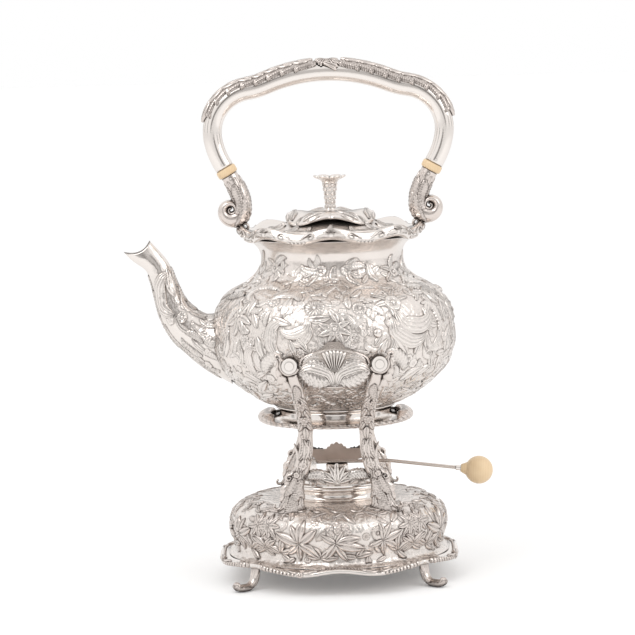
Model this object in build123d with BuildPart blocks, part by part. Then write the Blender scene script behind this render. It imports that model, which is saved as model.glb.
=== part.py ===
from build123d import *
import os
from math import cos, degrees, hypot, radians, sin, sqrt

os.makedirs("parts", exist_ok=True)

# A silver kettle that hangs by four side pins on a four-legged stand over a spirit lamp.
# The origin is on the table under the kettle's axis, the spout points along -X, and the
# handle's arch lies in the XZ plane.

# ---------------------------------------------------------------- driving sizes, in mm
clearance = 0.3          # between curved faces that move past each other
fit_gap = 0.05           # radial gap of a pin in its bore

# kettle body
body_wall = 1.2
body_floor_z = 122.0
floor_radius = 42.0
lower_belly_radius = 72.0
lower_belly_z = 141.0
belly_radius = 85.0
belly_z = 168.0
shoulder_radius = 73.0
shoulder_z = 202.0
neck_radius = 49.5
neck_z = 225.5
mouth_radius = 61.0
mouth_z = 240.5
bottom_seam_z = 146.0
shoulder_seam_z = 196.0

# cast border round the mouth
border_radius = 65.5
border_lobes = 8
border_lobe_depth = 2.3
border_shelf_radius = 53.0
border_bore_radius = 46.5
border_crest_height = 7.2
border_shelf_height = 3.5

# foot of the kettle
foot_neck_radius = 39.5
foot_neck_z = 119.0
foot_radius = 53.5
foot_bottom_z = 110.5
foot_wall = 1.6
foot_bead_radius = 2.6

# lid
lid_radius = 48.0
lid_brim_thickness = 1.4
lid_wall = 1.2
lid_bezel_depth = 4.0
lid_dome_height = 11.0
lid_crown_radius = 17.0
lid_frill_radius = 30.5
lid_frill_height = 6.0
lid_frill_waves = 10
lid_hinge_y = 52.0
hinge_pin_radius = 0.9
hinge_knuckle_radius = 2.2
hinge_width = 22.0
hinge_knuckle_gap = 0.2

# flower finial
finial_base_radius = 4.5
finial_stem_radius = 2.8
finial_throat_radius = 5.2
finial_flower_radius = 11.6
finial_height = 26.0
finial_petals = 6
finial_screw_radius = 1.5

# handle
handle_tube_radius = 6.7
handle_end_radius = 5.7
handle_seat_height = 45.4            # from the border's shelf up to the insulator
handle_top_arc = (113.0, 22.0)       # radius and turn in degrees, from the middle outwards
handle_dip_arc = (61.0, 13.5)
handle_shoulder_arc = (29.2, 91.0)
handle_flank_arc = (52.0, 20.0)
handle_end_straight = 3.0
insulator_radius = 7.3
insulator_thickness = 6.0
insulator_pin_radius = 0.8
crest_radius = 4.6
crest_rise = 5.0
crest_turn = 60.0                    # how far the crest runs down each shoulder, in degrees
tenon_radius = 3.6
tenon_length = 5.0
bracket_straight = 13.0
bracket_curve = (14.0, 70.0)
bracket_thickness = 10.0
volute_x = 68.0
volute_rise = 10.6                   # the volute's and the knuckle's centres above the shelf
knuckle_x = 60.4
knuckle_rise = 0.6
volute_radius = 6.8
knuckle_radius = 5.2

# spout
spout_wall = 1.3
spout_opening_radius = 12.0

# pins that carry the kettle
pin_spread = 30.4        # half the distance between left and right pins
pin_z = 159.5
pin_radius = 3.5
pin_button_radius = 5.2
pin_button_thickness = 2.2
boss_radius = 5.4
cup_inner_y = 83.2       # distance of a leg's cup from the XZ plane
cup_thickness = 5.0
cup_wall = 4.2
cup_gap = 0.08
cup_horn_z = 166.0

# legs of the stand
leg_width = 9.5
leg_thickness = 6.6
leg_foot_width = 20.0
leg_foot_thickness = 8.5
leg_foot_x = 33.0
leg_foot_y = 51.5
leg_bolt_radius = 1.6
leg_bolt_head_radius = 4.0

# aprons between the legs
apron_radius = 86.4      # inner face of the upper apron at its top
apron_thickness = 2.0
upper_apron_half_width = 24.8
upper_apron_low_z = 143.0
upper_apron_high_z = 172.0
apron_half_turn = 20.0   # degrees either side of the middle
apron_lean = 3.5         # how far its lower edge leans in under the belly
lower_apron_y = 48.6
lower_apron_thickness = 2.6
lower_apron_low_z = 71.5
lower_apron_high_z = 86.0

# base of the stand
base_wall = 1.5
base_bottom_z = 18.0
base_top_z = 57.0
base_bottom_radius = 71.0
base_waist_radius = 76.0
base_waist_z = 42.0
base_lobe_depth = 2.4
flange_radius = 85.0
flange_thickness = 3.5
flange_edge_round = 1.1
flange_corner_round = 8.0
ring_radius = 36.2
ring_bore_radius = 32.8
ring_height = 10.0

# scroll feet
foot_angle = 40.0        # from the X axis
foot_root_radius = 76.0
foot_toe_radius = 93.5
foot_band = 5.0
foot_width = 8.0

# spirit lamp
lamp_wall = 1.0
lamp_depth = 21.0
lamp_edge_round = 5.0
lamp_cover_radius = 36.4
lamp_cover_rise = 3.6
wick_tube_radius = 5.0
wick_tube_wall = 0.8
wick_tube_rise = 3.2
wick_rise = 1.4
snuffer_radius = 8.0
snuffer_height = 6.0
snuffer_wall = 1.0
lever_pivot_x = -17.7
lever_radius = 1.2
lever_bend_x = 36.0
lever_droop = 7.5        # degrees
lever_end_x = 88.0
lever_eye_radius = 2.6
lever_eye_width = 3.2
lever_pin_radius = 0.85
ear_thickness = 1.4
ferrule_radius = 1.9
knob_radius = 9.9
knob_neck_radius = 4.6
knob_neck_length = 4.2


def save(piece, label):
    """Name a finished piece and write its STEP file."""
    piece.part.label = label
    export_step(piece.part, f"parts/{label}.step")


# ---------------------------------------------------------------- kettle body
def vessel_half_section(inset):
    """The vessel's half section, moved in by inset: floor, belly, shoulder, neck and flare."""
    floor_z = body_floor_z + inset
    with BuildSketch(Plane.XZ) as section:
        with BuildLine():
            lower = Spline(
                (floor_radius - inset, floor_z),
                (lower_belly_radius - inset, lower_belly_z),
                (belly_radius - inset, belly_z),
                tangents=((1, 0.35), (0, 1)),
            )
            upper = Spline(
                lower @ 1,
                (shoulder_radius - inset, shoulder_z),
                (neck_radius - inset, neck_z),
                tangents=((0, 1), (0, 1)),
            )
            flare = Spline(
                upper @ 1,
                (mouth_radius - inset, mouth_z),
                tangents=((0, 1), (1, 0.7)),
            )
            Polyline(flare @ 1, (0, mouth_z), (0, floor_z), lower @ 0)
        make_face()
    return section.sketch


with BuildPart() as vessel_form:
    revolve(vessel_half_section(0), axis=Axis.Z)

# The vessel is made in three rings that are soldered at level seams: a dished bottom, the
# belly with the opening into the spout, and the shoulder with the neck.
with BuildPart() as vessel:
    add(vessel_form.part)
    revolve(vessel_half_section(body_wall), axis=Axis.Z, mode=Mode.SUBTRACT)

with BuildPart() as kettle_bottom:
    add(vessel.part)
    split(bisect_by=Plane.XY.offset(bottom_seam_z), keep=Keep.BOTTOM)
save(kettle_bottom, "kettle_bottom")

spout_root = Vector(-belly_radius, 0, belly_z - 2)
with BuildPart() as kettle_body:
    add(vessel.part)
    split(bisect_by=Plane.XY.offset(bottom_seam_z), keep=Keep.TOP)
    split(bisect_by=Plane.XY.offset(shoulder_seam_z), keep=Keep.BOTTOM)
    with Locations(Plane(origin=spout_root, z_dir=(-1, 0, 0))):
        Cylinder(spout_opening_radius, 30, mode=Mode.SUBTRACT)
save(kettle_body, "kettle_body")

with BuildPart() as kettle_neck:
    add(vessel.part)
    split(bisect_by=Plane.XY.offset(shoulder_seam_z), keep=Keep.TOP)
save(kettle_neck, "kettle_neck")

# ---------------------------------------------------------------- mouth border
border_bottom_z = mouth_z - 1.0
shelf_z = mouth_z + border_shelf_height
crest_z = mouth_z + border_crest_height
with BuildPart() as mouth_border:
    with BuildSketch(Plane.XZ):
        with BuildLine():
            Polyline(
                (border_bore_radius, shelf_z),
                (border_bore_radius, mouth_z),
                (mouth_radius + 0.4, mouth_z),
                (mouth_radius + 0.4, border_bottom_z),
            )
            ThreePointArc(
                (mouth_radius + 0.4, border_bottom_z),
                (border_radius, mouth_z + 3.0),
                (border_radius - 3.0, crest_z),
            )
            ThreePointArc(
                (border_radius - 3.0, crest_z),
                (border_shelf_radius + 5.0, shelf_z + 0.9),
                (border_shelf_radius, shelf_z),
            )
            Line((border_shelf_radius, shelf_z), (border_bore_radius, shelf_z))
        make_face()
    revolve(axis=Axis.Z)
    # the outer edge runs in lobes, with a notch between each two
    notch_radius = 9.0
    notch_at = border_radius + notch_radius - border_lobe_depth
    with PolarLocations(notch_at, border_lobes, start_angle=180 / border_lobes):
        with Locations((0, 0, mouth_z)):
            Cylinder(notch_radius, 30, mode=Mode.SUBTRACT)
save(mouth_border, "mouth_border")

# ---------------------------------------------------------------- kettle foot
with BuildPart() as kettle_foot:
    with BuildSketch(Plane.XZ):
        with BuildLine():
            Line((floor_radius, body_floor_z), (foot_neck_radius, foot_neck_z))
            ThreePointArc(
                (foot_neck_radius, foot_neck_z),
                (foot_neck_radius + 4.6, foot_neck_z - 3.6),
                (foot_radius - 1.4, foot_bottom_z + 3.6),
            )
            Polyline(
                (foot_radius - 1.4, foot_bottom_z + 3.6),
                (foot_radius - 1.4, foot_bottom_z),
                (foot_radius - 1.4 - foot_wall, foot_bottom_z),
                (foot_radius - 1.4 - foot_wall, foot_bottom_z + 2.4),
            )
            ThreePointArc(
                (foot_radius - 1.4 - foot_wall, foot_bottom_z + 2.4),
                (foot_neck_radius + 4.6 - foot_wall, foot_neck_z - 4.8),
                (foot_neck_radius - foot_wall, foot_neck_z - 0.6),
            )
            Polyline(
                (foot_neck_radius - foot_wall, foot_neck_z - 0.6),
                (foot_neck_radius - foot_wall, body_floor_z),
                (floor_radius, body_floor_z),
            )
        make_face()
    revolve(axis=Axis.Z)
save(kettle_foot, "kettle_foot")

with BuildPart() as foot_border:
    with BuildSketch(Plane.XZ):
        with Locations((foot_radius - foot_bead_radius / 2, foot_bottom_z + foot_bead_radius)):
            Circle(foot_bead_radius)
        with Locations((foot_radius - 1.4, foot_bottom_z)):
            Rectangle(20, 20, align=(Align.MAX, Align.CENTER), mode=Mode.SUBTRACT)
    revolve(axis=Axis.Z)
save(foot_border, "foot_border")

# ---------------------------------------------------------------- lid
brim_z = shelf_z + clearance
brim_top_z = brim_z + lid_brim_thickness
dome_top_z = brim_top_z + lid_dome_height


def lid_half_section(inset):
    """Half section of the domed cover above its brim, moved in by inset."""
    edge = lid_radius - 7.0 - inset
    with BuildSketch(Plane.XZ) as section:
        with BuildLine():
            dome = ThreePointArc(
                (edge, brim_top_z - 0.5 * lid_brim_thickness),
                (lid_frill_radius - 2 - inset, brim_top_z + 0.5 * lid_dome_height - inset),
                (lid_crown_radius, dome_top_z - inset),
            )
            Polyline(dome @ 1, (0, dome_top_z - inset), (0, brim_z), (edge, brim_z), dome @ 0)
        make_face()
    return section.sketch


with BuildPart() as lid_cover:
    with BuildSketch(Plane.XY.offset(brim_z)):
        Circle(lid_radius)
        Circle(lid_radius - 7.5, mode=Mode.SUBTRACT)
    extrude(amount=lid_brim_thickness)
    revolve(lid_half_section(0), axis=Axis.Z)
    revolve(lid_half_section(lid_wall), axis=Axis.Z, mode=Mode.SUBTRACT)
    bezel_radius = border_bore_radius - clearance - 0.4
    with BuildSketch(Plane.XY.offset(brim_z)):
        Circle(bezel_radius)
        Circle(bezel_radius - lid_wall, mode=Mode.SUBTRACT)
    extrude(amount=-lid_bezel_depth)
    with Locations((0, 0, dome_top_z)):
        Cylinder(finial_screw_radius + fit_gap, 10, mode=Mode.SUBTRACT)
    # the brim is cut back where the hinge knuckles stand
    with Locations((0, lid_hinge_y, brim_z)):
        Box(hinge_width + 2, 2 * (hinge_knuckle_radius + 0.6), 12, mode=Mode.SUBTRACT)
save(lid_cover, "lid_cover")

# the frill is a ring whose edge runs in and out like a pie crust
with BuildPart() as lid_frill:
    frill_low_z = brim_top_z + 2.0
    with BuildSketch(Plane.XY.offset(frill_low_z)):
        Circle(lid_frill_radius - 2.5)
        with PolarLocations(lid_frill_radius - 5.5, lid_frill_waves):
            Circle(5.5)
    extrude(amount=lid_frill_height, taper=16)
    revolve(lid_half_section(0), axis=Axis.Z, mode=Mode.SUBTRACT)
save(lid_frill, "lid_frill")

with BuildPart() as finial:
    stem_z = dome_top_z + 2.0
    flower_z = dome_top_z + finial_height - 5.5
    flower_top_z = dome_top_z + finial_height
    with BuildSketch(Plane.XZ):
        with BuildLine():
            Polyline((0, dome_top_z), (finial_base_radius, dome_top_z), (finial_base_radius, stem_z))
            flare_line = Spline(
                (finial_base_radius, stem_z),
                (finial_stem_radius, stem_z + 3.5),
                (finial_throat_radius, flower_z),
                (finial_flower_radius, flower_top_z - 1.6),
                tangents=((-1, 0.2), (1, 0.3)),
            )
            Polyline(
                flare_line @ 1,
                (finial_flower_radius - 0.6, flower_top_z),
                (finial_throat_radius - 1.5, flower_top_z - 3.5),
                (0, flower_top_z - 4.5),
                (0, dome_top_z),
            )
        make_face()
    revolve(axis=Axis.Z)
    with Locations((0, 0, flower_top_z)):
        with PolarLocations(finial_flower_radius + 0.8, finial_petals):
            Cylinder(2.6, 9, mode=Mode.SUBTRACT)
    with BuildSketch(Plane.XY.offset(dome_top_z)):
        Circle(finial_screw_radius)
    extrude(amount=-(lid_wall + 3.5))
save(finial, "finial")

with BuildPart() as finial_nut:
    nut_top_z = dome_top_z - lid_wall
    with BuildSketch(Plane.XY.offset(nut_top_z)):
        RegularPolygon(3.6, 6)
        Circle(finial_screw_radius + fit_gap, mode=Mode.SUBTRACT)
    extrude(amount=-2.2)
save(finial_nut, "finial_nut")

# ---------------------------------------------------------------- lid hinge
hinge_z = brim_z + hinge_knuckle_radius - 0.1
hinge_plane = Plane(origin=(0, lid_hinge_y, hinge_z), x_dir=(0, 1, 0), z_dir=(1, 0, 0))
middle_width = hinge_width * 0.4
side_width = (hinge_width - middle_width) / 2 - hinge_knuckle_gap

with BuildPart() as lid_hinge_strap:
    with BuildSketch(hinge_plane.offset(-middle_width / 2)):
        Circle(hinge_knuckle_radius)
        Circle(hinge_pin_radius + fit_gap, mode=Mode.SUBTRACT)
    extrude(amount=middle_width)
    strap_back = lid_hinge_y - hinge_pin_radius - 0.6
    strap_front = lid_radius - 8.0
    with BuildSketch(Plane.XY.offset(brim_top_z)):
        with Locations((0, strap_back)):
            Rectangle(middle_width, strap_back - strap_front, align=(Align.CENTER, Align.MAX))
    extrude(amount=1.0)
save(lid_hinge_strap, "lid_hinge_strap")

with BuildPart() as border_hinge_lug:
    for side in (-1, 1):
        with BuildSketch(hinge_plane.offset(side * (middle_width / 2 + hinge_knuckle_gap + side_width / 2))):
            Circle(hinge_knuckle_radius)
            with Locations((0, 0)):
                Rectangle(
                    hinge_knuckle_radius + 1.8, hinge_z - shelf_z, align=(Align.MIN, Align.MAX)
                )
            Circle(hinge_pin_radius + fit_gap, mode=Mode.SUBTRACT)
        extrude(amount=side_width / 2, both=True)
    with BuildSketch(Plane.XY.offset(shelf_z)):
        with Locations((0, lid_hinge_y + hinge_knuckle_radius + clearance)):
            Rectangle(hinge_width, 2.6, align=(Align.CENTER, Align.MIN))
    extrude(amount=1.0)
    add(mouth_border.part, mode=Mode.SUBTRACT)
save(border_hinge_lug, "border_hinge_lug")

with BuildPart() as lid_hinge_pin:
    with BuildSketch(hinge_plane.offset(-hinge_width / 2)):
        Circle(hinge_pin_radius)
    extrude(amount=hinge_width)
save(lid_hinge_pin, "lid_hinge_pin")

# ---------------------------------------------------------------- handle
# The right half of the handle's centre line, from the middle of the arch to the insulator.
top_radius, top_turn = handle_top_arc
dip_radius, dip_turn = handle_dip_arc
shoulder_arc_radius, shoulder_turn = handle_shoulder_arc
flank_radius, flank_turn = handle_flank_arc


def handle_path(shoulder_share, top_z):
    """The arch in the XZ plane, ending after a share of the shoulder's turn, or whole at 1."""
    with BuildLine(Plane.XZ) as path:
        top_arc = JernArc((0, top_z), (1, 0), top_radius, -top_turn)
        dip_arc = JernArc(top_arc @ 1, top_arc % 1, dip_radius, dip_turn)
        shoulder = JernArc(
            dip_arc @ 1, dip_arc % 1, shoulder_arc_radius, -shoulder_turn * shoulder_share
        )
        if shoulder_share == 1:
            flank = JernArc(shoulder @ 1, shoulder % 1, flank_radius, -flank_turn)
            Line(flank @ 1, (flank @ 1) + handle_end_straight * (flank % 1))
    return path.line


handle_drop = -(handle_path(1, 0) @ 1).Z
handle_top_z = shelf_z + handle_seat_height + handle_drop
handle_start = Plane(origin=(0, 0, handle_top_z), x_dir=(0, 1, 0), z_dir=(1, 0, 0))
handle_line = handle_path(1, handle_top_z)
handle_end = handle_line @ 1
handle_down = handle_line % 1
insulator_seat = Plane(origin=handle_end, x_dir=(0, 1, 0), z_dir=handle_down)
bracket_seat = insulator_seat.offset(insulator_thickness)
pin_reach = tenon_length * 0.5


def insulator_pin_planes():
    """Where the two pins of the right insulator cross the handle, above and below it."""
    above = handle_end - pin_reach * handle_down
    below = bracket_seat.origin + pin_reach * handle_down
    return [Plane(origin=place, z_dir=(0, 1, 0)) for place in (above, below)]


with BuildPart() as handle_bail:
    with BuildSketch(handle_start):
        Circle(handle_tube_radius)
    sweep(path=handle_line)
    with BuildSketch(insulator_seat):
        Circle(tenon_radius + fit_gap)
    extrude(amount=-(tenon_length + clearance), mode=Mode.SUBTRACT)
    for pin_plane in insulator_pin_planes():
        with Locations(pin_plane):
            Cylinder(insulator_pin_radius + fit_gap, 30, mode=Mode.SUBTRACT)
    mirror(about=Plane.YZ)
save(handle_bail, "handle_bail")

with BuildPart() as handle_crest:
    with BuildSketch(handle_start):
        with Locations((0, crest_rise)):
            Circle(crest_radius)
        Circle(handle_tube_radius, mode=Mode.SUBTRACT)
    sweep(path=handle_path(crest_turn / shoulder_turn, handle_top_z))
    mirror(about=Plane.YZ)
save(handle_crest, "handle_crest")

with BuildPart() as insulator_right:
    with BuildSketch(insulator_seat):
        Circle(insulator_radius)
    extrude(amount=insulator_thickness)
    fillet(insulator_right.edges(), 1.4)
    with BuildSketch(insulator_seat.offset(-tenon_length)):
        Circle(tenon_radius)
    extrude(amount=insulator_thickness + 2 * tenon_length)
    for pin_plane in insulator_pin_planes():
        with Locations(pin_plane):
            Cylinder(insulator_pin_radius + fit_gap, 30, mode=Mode.SUBTRACT)
save(insulator_right, "insulator_right")

with BuildPart() as insulator_left:
    mirror(insulator_right.part, about=Plane.YZ)
save(insulator_left, "insulator_left")

with BuildPart() as insulator_pins:
    for pin_plane in insulator_pin_planes():
        with Locations(pin_plane):
            Cylinder(insulator_pin_radius, 2 * handle_tube_radius + 0.8)
    mirror(about=Plane.YZ)
save(insulator_pins, "insulator_pins")

# each bracket is a leaf sheath that curls out into a volute and stands on the border
bracket_curve_radius, bracket_curve_turn = bracket_curve
volute_z = shelf_z + volute_rise
knuckle_z = shelf_z + knuckle_rise
with BuildLine(Plane.XZ) as bracket_line:
    sheath = Line(bracket_seat.origin, bracket_seat.origin + bracket_straight * handle_down)
    JernArc(sheath @ 1, sheath % 1, bracket_curve_radius, bracket_curve_turn)

with BuildPart() as handle_bracket_right:
    with BuildSketch(bracket_seat):
        Ellipse(handle_end_radius - 0.2, handle_end_radius)
    sweep(path=bracket_line.line)
    with BuildSketch(Plane.XZ):
        with Locations((volute_x, volute_z)):
            Circle(volute_radius)
        with Locations((knuckle_x, knuckle_z)):
            Circle(knuckle_radius)
        with Locations(((volute_x + knuckle_x) / 2 - 0.8, (volute_z + knuckle_z) / 2)):
            Circle(knuckle_radius * 0.62)
    extrude(amount=bracket_thickness / 2, both=True)
    with BuildSketch(bracket_seat):
        Circle(tenon_radius + fit_gap)
    extrude(amount=tenon_length + clearance, mode=Mode.SUBTRACT)
    with Locations(insulator_pin_planes()[1]):
        Cylinder(insulator_pin_radius + fit_gap, 30, mode=Mode.SUBTRACT)
    add(mouth_border.part, mode=Mode.SUBTRACT)
    split(bisect_by=Plane.XY.offset(shelf_z), keep=Keep.TOP)
save(handle_bracket_right, "handle_bracket_right")

with BuildPart() as handle_bracket_left:
    mirror(handle_bracket_right.part, about=Plane.YZ)
save(handle_bracket_left, "handle_bracket_left")

# ---------------------------------------------------------------- spout
# Sections along the spout from its root to its lip: centre x and z, heading in degrees
# above -X, half length across the spout in the XZ plane, and half width.
spout_stations = (
    (-74, 162.5, -4, 25.5, 22.0),
    (-89, 167.5, 4, 19.0, 18.4),
    (-97.5, 173.5, 20, 15.6, 15.1),
    (-106.5, 182.5, 42, 13.0, 12.6),
    (-112.5, 192.5, 62, 10.6, 10.3),
    (-116.2, 203.5, 75, 9.1, 8.8),
    (-119.6, 214.5, 74, 8.4, 8.1),
    (-122.8, 221.8, 68, 8.5, 7.2),
    (-135.3, 232.0, 69.5, 11.8, 5.8),
)


def spout_sections(inset):
    """The spout's oval sections, each smaller by inset."""
    ovals = []
    for x, z, heading, half_length, half_width in spout_stations:
        along = Vector(-cos(radians(heading)), 0, sin(radians(heading)))
        with BuildSketch(Plane(origin=(x, 0, z), x_dir=(0, 1, 0), z_dir=along)) as oval:
            Ellipse(half_width - inset, half_length - inset)
        ovals.append(oval.sketch)
    return ovals


with BuildPart() as spout:
    loft(spout_sections(0))
    loft(spout_sections(spout_wall), mode=Mode.SUBTRACT)
    add(vessel_form.part, mode=Mode.SUBTRACT)
save(spout, "spout")

# ---------------------------------------------------------------- pins that carry the kettle
body_y_at_pins = sqrt(belly_radius**2 - pin_spread**2)
boss_root_y = body_y_at_pins - 5.0
boss_face_y = cup_inner_y - clearance
cup_outer_y = cup_inner_y + cup_thickness
button_y = cup_outer_y + clearance


def pin_planes(x, y):
    """Front and rear places of a pin at x, each plane facing away from the kettle."""
    return [
        Plane(origin=(x, y, pin_z), z_dir=(0, 1, 0)),
        Plane(origin=(x, -y, pin_z), z_dir=(0, -1, 0)),
    ]


with BuildPart() as pin_bosses:
    for x in (-pin_spread, pin_spread):
        for place in pin_planes(x, boss_root_y):
            with BuildSketch(place):
                Circle(boss_radius)
            extrude(amount=boss_face_y - boss_root_y)
    add(vessel_form.part, mode=Mode.SUBTRACT)
    for x in (-pin_spread, pin_spread):
        for place in pin_planes(x, body_y_at_pins - 5):
            with Locations(place):
                Cylinder(pin_radius + fit_gap, 60, mode=Mode.SUBTRACT)
save(pin_bosses, "pin_bosses")


def carrying_pins(x):
    """A front and a rear pin at x, each with a shank and a turned button on its end."""
    shank_y = body_y_at_pins + 0.8
    with BuildPart() as pins:
        for place in pin_planes(x, shank_y):
            with BuildSketch(place):
                Circle(pin_radius)
            extrude(amount=button_y - shank_y)
        for place in pin_planes(x, button_y):
            with BuildSketch(place):
                Circle(pin_button_radius)
            extrude(amount=pin_button_thickness)
            with BuildSketch(place.offset(pin_button_thickness)):
                Circle(pin_button_radius * 0.55)
            extrude(amount=0.8)
    return pins


pivot_pins = carrying_pins(-pin_spread)
save(pivot_pins, "pivot_pins")
rest_pins = carrying_pins(pin_spread)
save(rest_pins, "rest_pins")

# ---------------------------------------------------------------- base of the stand
def lobed_outline(radius, z, corner_round=0):
    """Four shallow lobes of one radius, meeting in corners over the feet."""
    corner = (radius - base_lobe_depth) * sqrt(0.5)
    with BuildSketch(Plane.XY.offset(z)) as outline:
        with BuildLine():
            corners = [(corner, -corner), (corner, corner), (-corner, corner), (-corner, -corner)]
            middles = [(radius, 0), (0, radius), (-radius, 0), (0, -radius)]
            for n in range(4):
                ThreePointArc(corners[n], middles[n], corners[(n + 1) % 4])
        make_face()
        if corner_round:
            fillet(outline.vertices(), corner_round)
    return outline.sketch


def base_sections(inset):
    """Outlines of the base from its bottom edge to its top, moved in by inset."""
    waist = base_waist_radius - inset
    return [
        lobed_outline(base_bottom_radius - inset, base_bottom_z),
        lobed_outline(base_bottom_radius + 1.0 - inset, base_bottom_z + 6),
        lobed_outline(waist - 0.9, base_waist_z - 8),
        lobed_outline(waist, base_waist_z),
        lobed_outline(waist - 3.2, base_waist_z + 7 - 0.5 * inset),
        lobed_outline(waist - 11.0, base_top_z - 2.6 - 0.9 * inset),
        lobed_outline(waist - 27.0, base_top_z - inset),
    ]


def base_solid(inset):
    """The base as one block, lofted from its bottom to its waist and on to its top."""
    sections = base_sections(inset)
    with BuildPart() as block:
        loft(sections[:4])
        loft(sections[3:])
    return block.part


with BuildPart() as base_form:
    add(base_solid(0))
with BuildPart() as base_hollow:
    add(base_solid(base_wall))

leg_feet = [(x * leg_foot_x, y * leg_foot_y) for x in (-1, 1) for y in (-1, 1)]
with BuildPart() as stand_base:
    add(base_form.part)
    add(base_hollow.part, mode=Mode.SUBTRACT)
    with Locations((0, 0, base_top_z)):
        Cylinder(ring_bore_radius, 20, mode=Mode.SUBTRACT)
    with Locations(*[(x, y, base_top_z) for x, y in leg_feet]):
        Cylinder(leg_bolt_radius + fit_gap, 30, mode=Mode.SUBTRACT)
save(stand_base, "stand_base")

with BuildPart() as base_flange:
    extrude(
        lobed_outline(flange_radius, base_bottom_z - flange_thickness, flange_corner_round),
        flange_thickness,
    )
    fillet(base_flange.edges(), flange_edge_round)
    add(
        extrude(lobed_outline(base_bottom_radius - 8, base_bottom_z - 10), 20, mode=Mode.PRIVATE),
        mode=Mode.SUBTRACT,
    )
save(base_flange, "base_flange")

with BuildPart() as burner_ring:
    with BuildSketch(Plane.XZ):
        with BuildLine():
            Polyline(
                (ring_bore_radius, base_top_z + ring_height),
                (ring_bore_radius, base_top_z),
                (ring_radius + 2.2, base_top_z),
            )
            ThreePointArc(
                (ring_radius + 2.2, base_top_z),
                (ring_radius - 1.6, base_top_z + 0.45 * ring_height),
                (ring_radius - 0.2, base_top_z + 0.7 * ring_height),
            )
            ThreePointArc(
                (ring_radius - 0.2, base_top_z + 0.7 * ring_height),
                (ring_radius + 1.0, base_top_z + 0.85 * ring_height),
                (ring_radius - 0.2, base_top_z + ring_height),
            )
            Line(
                (ring_radius - 0.2, base_top_z + ring_height),
                (ring_bore_radius, base_top_z + ring_height),
            )
        make_face()
    revolve(axis=Axis.Z)
save(burner_ring, "burner_ring")

# ---------------------------------------------------------------- scroll feet
foot_top_z = base_bottom_z - flange_thickness


def scroll_foot(angle):
    """A cast band that drops from the flange, runs out along the table and curls up."""
    outward = Vector(cos(radians(angle)), sin(radians(angle)), 0)
    upright = Plane(origin=(0, 0, 0), x_dir=outward, z_dir=outward.cross(Vector(0, 0, 1)))
    heel = (foot_root_radius + 7.5, 0.5 * foot_band - 0.3)
    with BuildPart() as foot:
        with BuildSketch(upright):
            with BuildLine():
                drop = ThreePointArc(
                    (foot_root_radius, foot_top_z + 1), (foot_root_radius + 1.5, 7.0), heel
                )
                toe = TangentArc(heel, (foot_toe_radius, 5.4), tangent=drop % 1)
            trace(line_width=foot_band)
            with Locations((foot_toe_radius - 0.8, 5.2)):
                Circle(0.62 * foot_band)
        extrude(amount=foot_width / 2, both=True)
        split(bisect_by=Plane.XY, keep=Keep.TOP)
        split(bisect_by=Plane.XY.offset(foot_top_z), keep=Keep.BOTTOM)
    return foot


for name, angle in (
    ("foot_rear_right", foot_angle),
    ("foot_rear_left", 180 - foot_angle),
    ("foot_front_left", 180 + foot_angle),
    ("foot_front_right", -foot_angle),
):
    save(scroll_foot(angle), name)

# ---------------------------------------------------------------- legs of the stand
# Stations down the rear right leg: x, y, z, width and thickness.
leg_stations = (
    (29.6, 86.5, 155.0, 8.4, 4.4),
    (27.8, 83.2, 148.0, 8.4, 5.6),
    (25.0, 76.0, 136.0, 9.6, 7.0),
    (22.8, 67.0, 124.5, leg_width, leg_thickness),
    (21.4, 59.2, 112.0, leg_width, leg_thickness),
    (22.2, 55.0, 97.0, leg_width + 0.6, leg_thickness),
    (24.8, 53.0, 85.5, leg_width, leg_thickness),
    (29.4, 52.2, 74.0, leg_width, leg_thickness),
    (32.0, 51.8, 64.0, leg_width + 0.4, leg_thickness + 0.6),
    (leg_foot_x, leg_foot_y, 51.0, leg_foot_width, leg_foot_thickness),
)
cup_radius = pin_radius + cup_gap + cup_wall
cup_plane = Plane(origin=(0, cup_inner_y, 0), x_dir=(-1, 0, 0), z_dir=(0, 1, 0))

with BuildPart() as leg_rear_right:
    places = [Vector(x, y, z) for x, y, z, _, _ in leg_stations]
    for n, (x, y, z, width, thickness) in enumerate(leg_stations):
        before = places[max(n - 1, 0)]
        after = places[min(n + 1, len(places) - 1)]
        tangent = (after - before).normalized()
        with BuildSketch(Plane(origin=(x, y, z), x_dir=(1, 0, 0), z_dir=tangent)):
            Ellipse(width / 2, thickness / 2)
    loft()
    # an open cup takes the pin, and its outer side rises into a horn with a small curl
    with BuildSketch(cup_plane):
        with Locations((-pin_spread, pin_z)):
            Circle(cup_radius)
        with BuildLine():
            horn_root = (-pin_spread - cup_radius * 0.2, pin_z - cup_radius * 0.95)
            horn_tip = (-pin_spread - cup_radius + 0.6, cup_horn_z)
            Line(horn_root, (-pin_spread - 0.2 * cup_radius, pin_z))
            Line((-pin_spread - 0.2 * cup_radius, pin_z), (-pin_spread - cup_radius + 3.2, cup_horn_z))
            Line((-pin_spread - cup_radius + 3.2, cup_horn_z), horn_tip)
            ThreePointArc(horn_tip, (-pin_spread - cup_radius - 1.2, pin_z - 2.0), horn_root)
        make_face()
        with Locations(horn_tip):
            Circle(2.0)
        with Locations((-pin_spread, pin_z)):
            Circle(pin_radius + cup_gap, mode=Mode.SUBTRACT)
            Rectangle(
                2 * (pin_radius + cup_gap), 40, align=(Align.CENTER, Align.MIN), mode=Mode.SUBTRACT
            )
        with Locations((-pin_spread + pin_radius + cup_gap, pin_z + 2.0)):
            Rectangle(20, 20, align=(Align.MIN, Align.MIN), mode=Mode.SUBTRACT)
    extrude(amount=cup_thickness)
    add(base_form.part, mode=Mode.SUBTRACT)
    with Locations((leg_foot_x, leg_foot_y, base_top_z - 4)):
        Cylinder(leg_bolt_radius + fit_gap, 18, mode=Mode.SUBTRACT)
save(leg_rear_right, "leg_rear_right")

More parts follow.
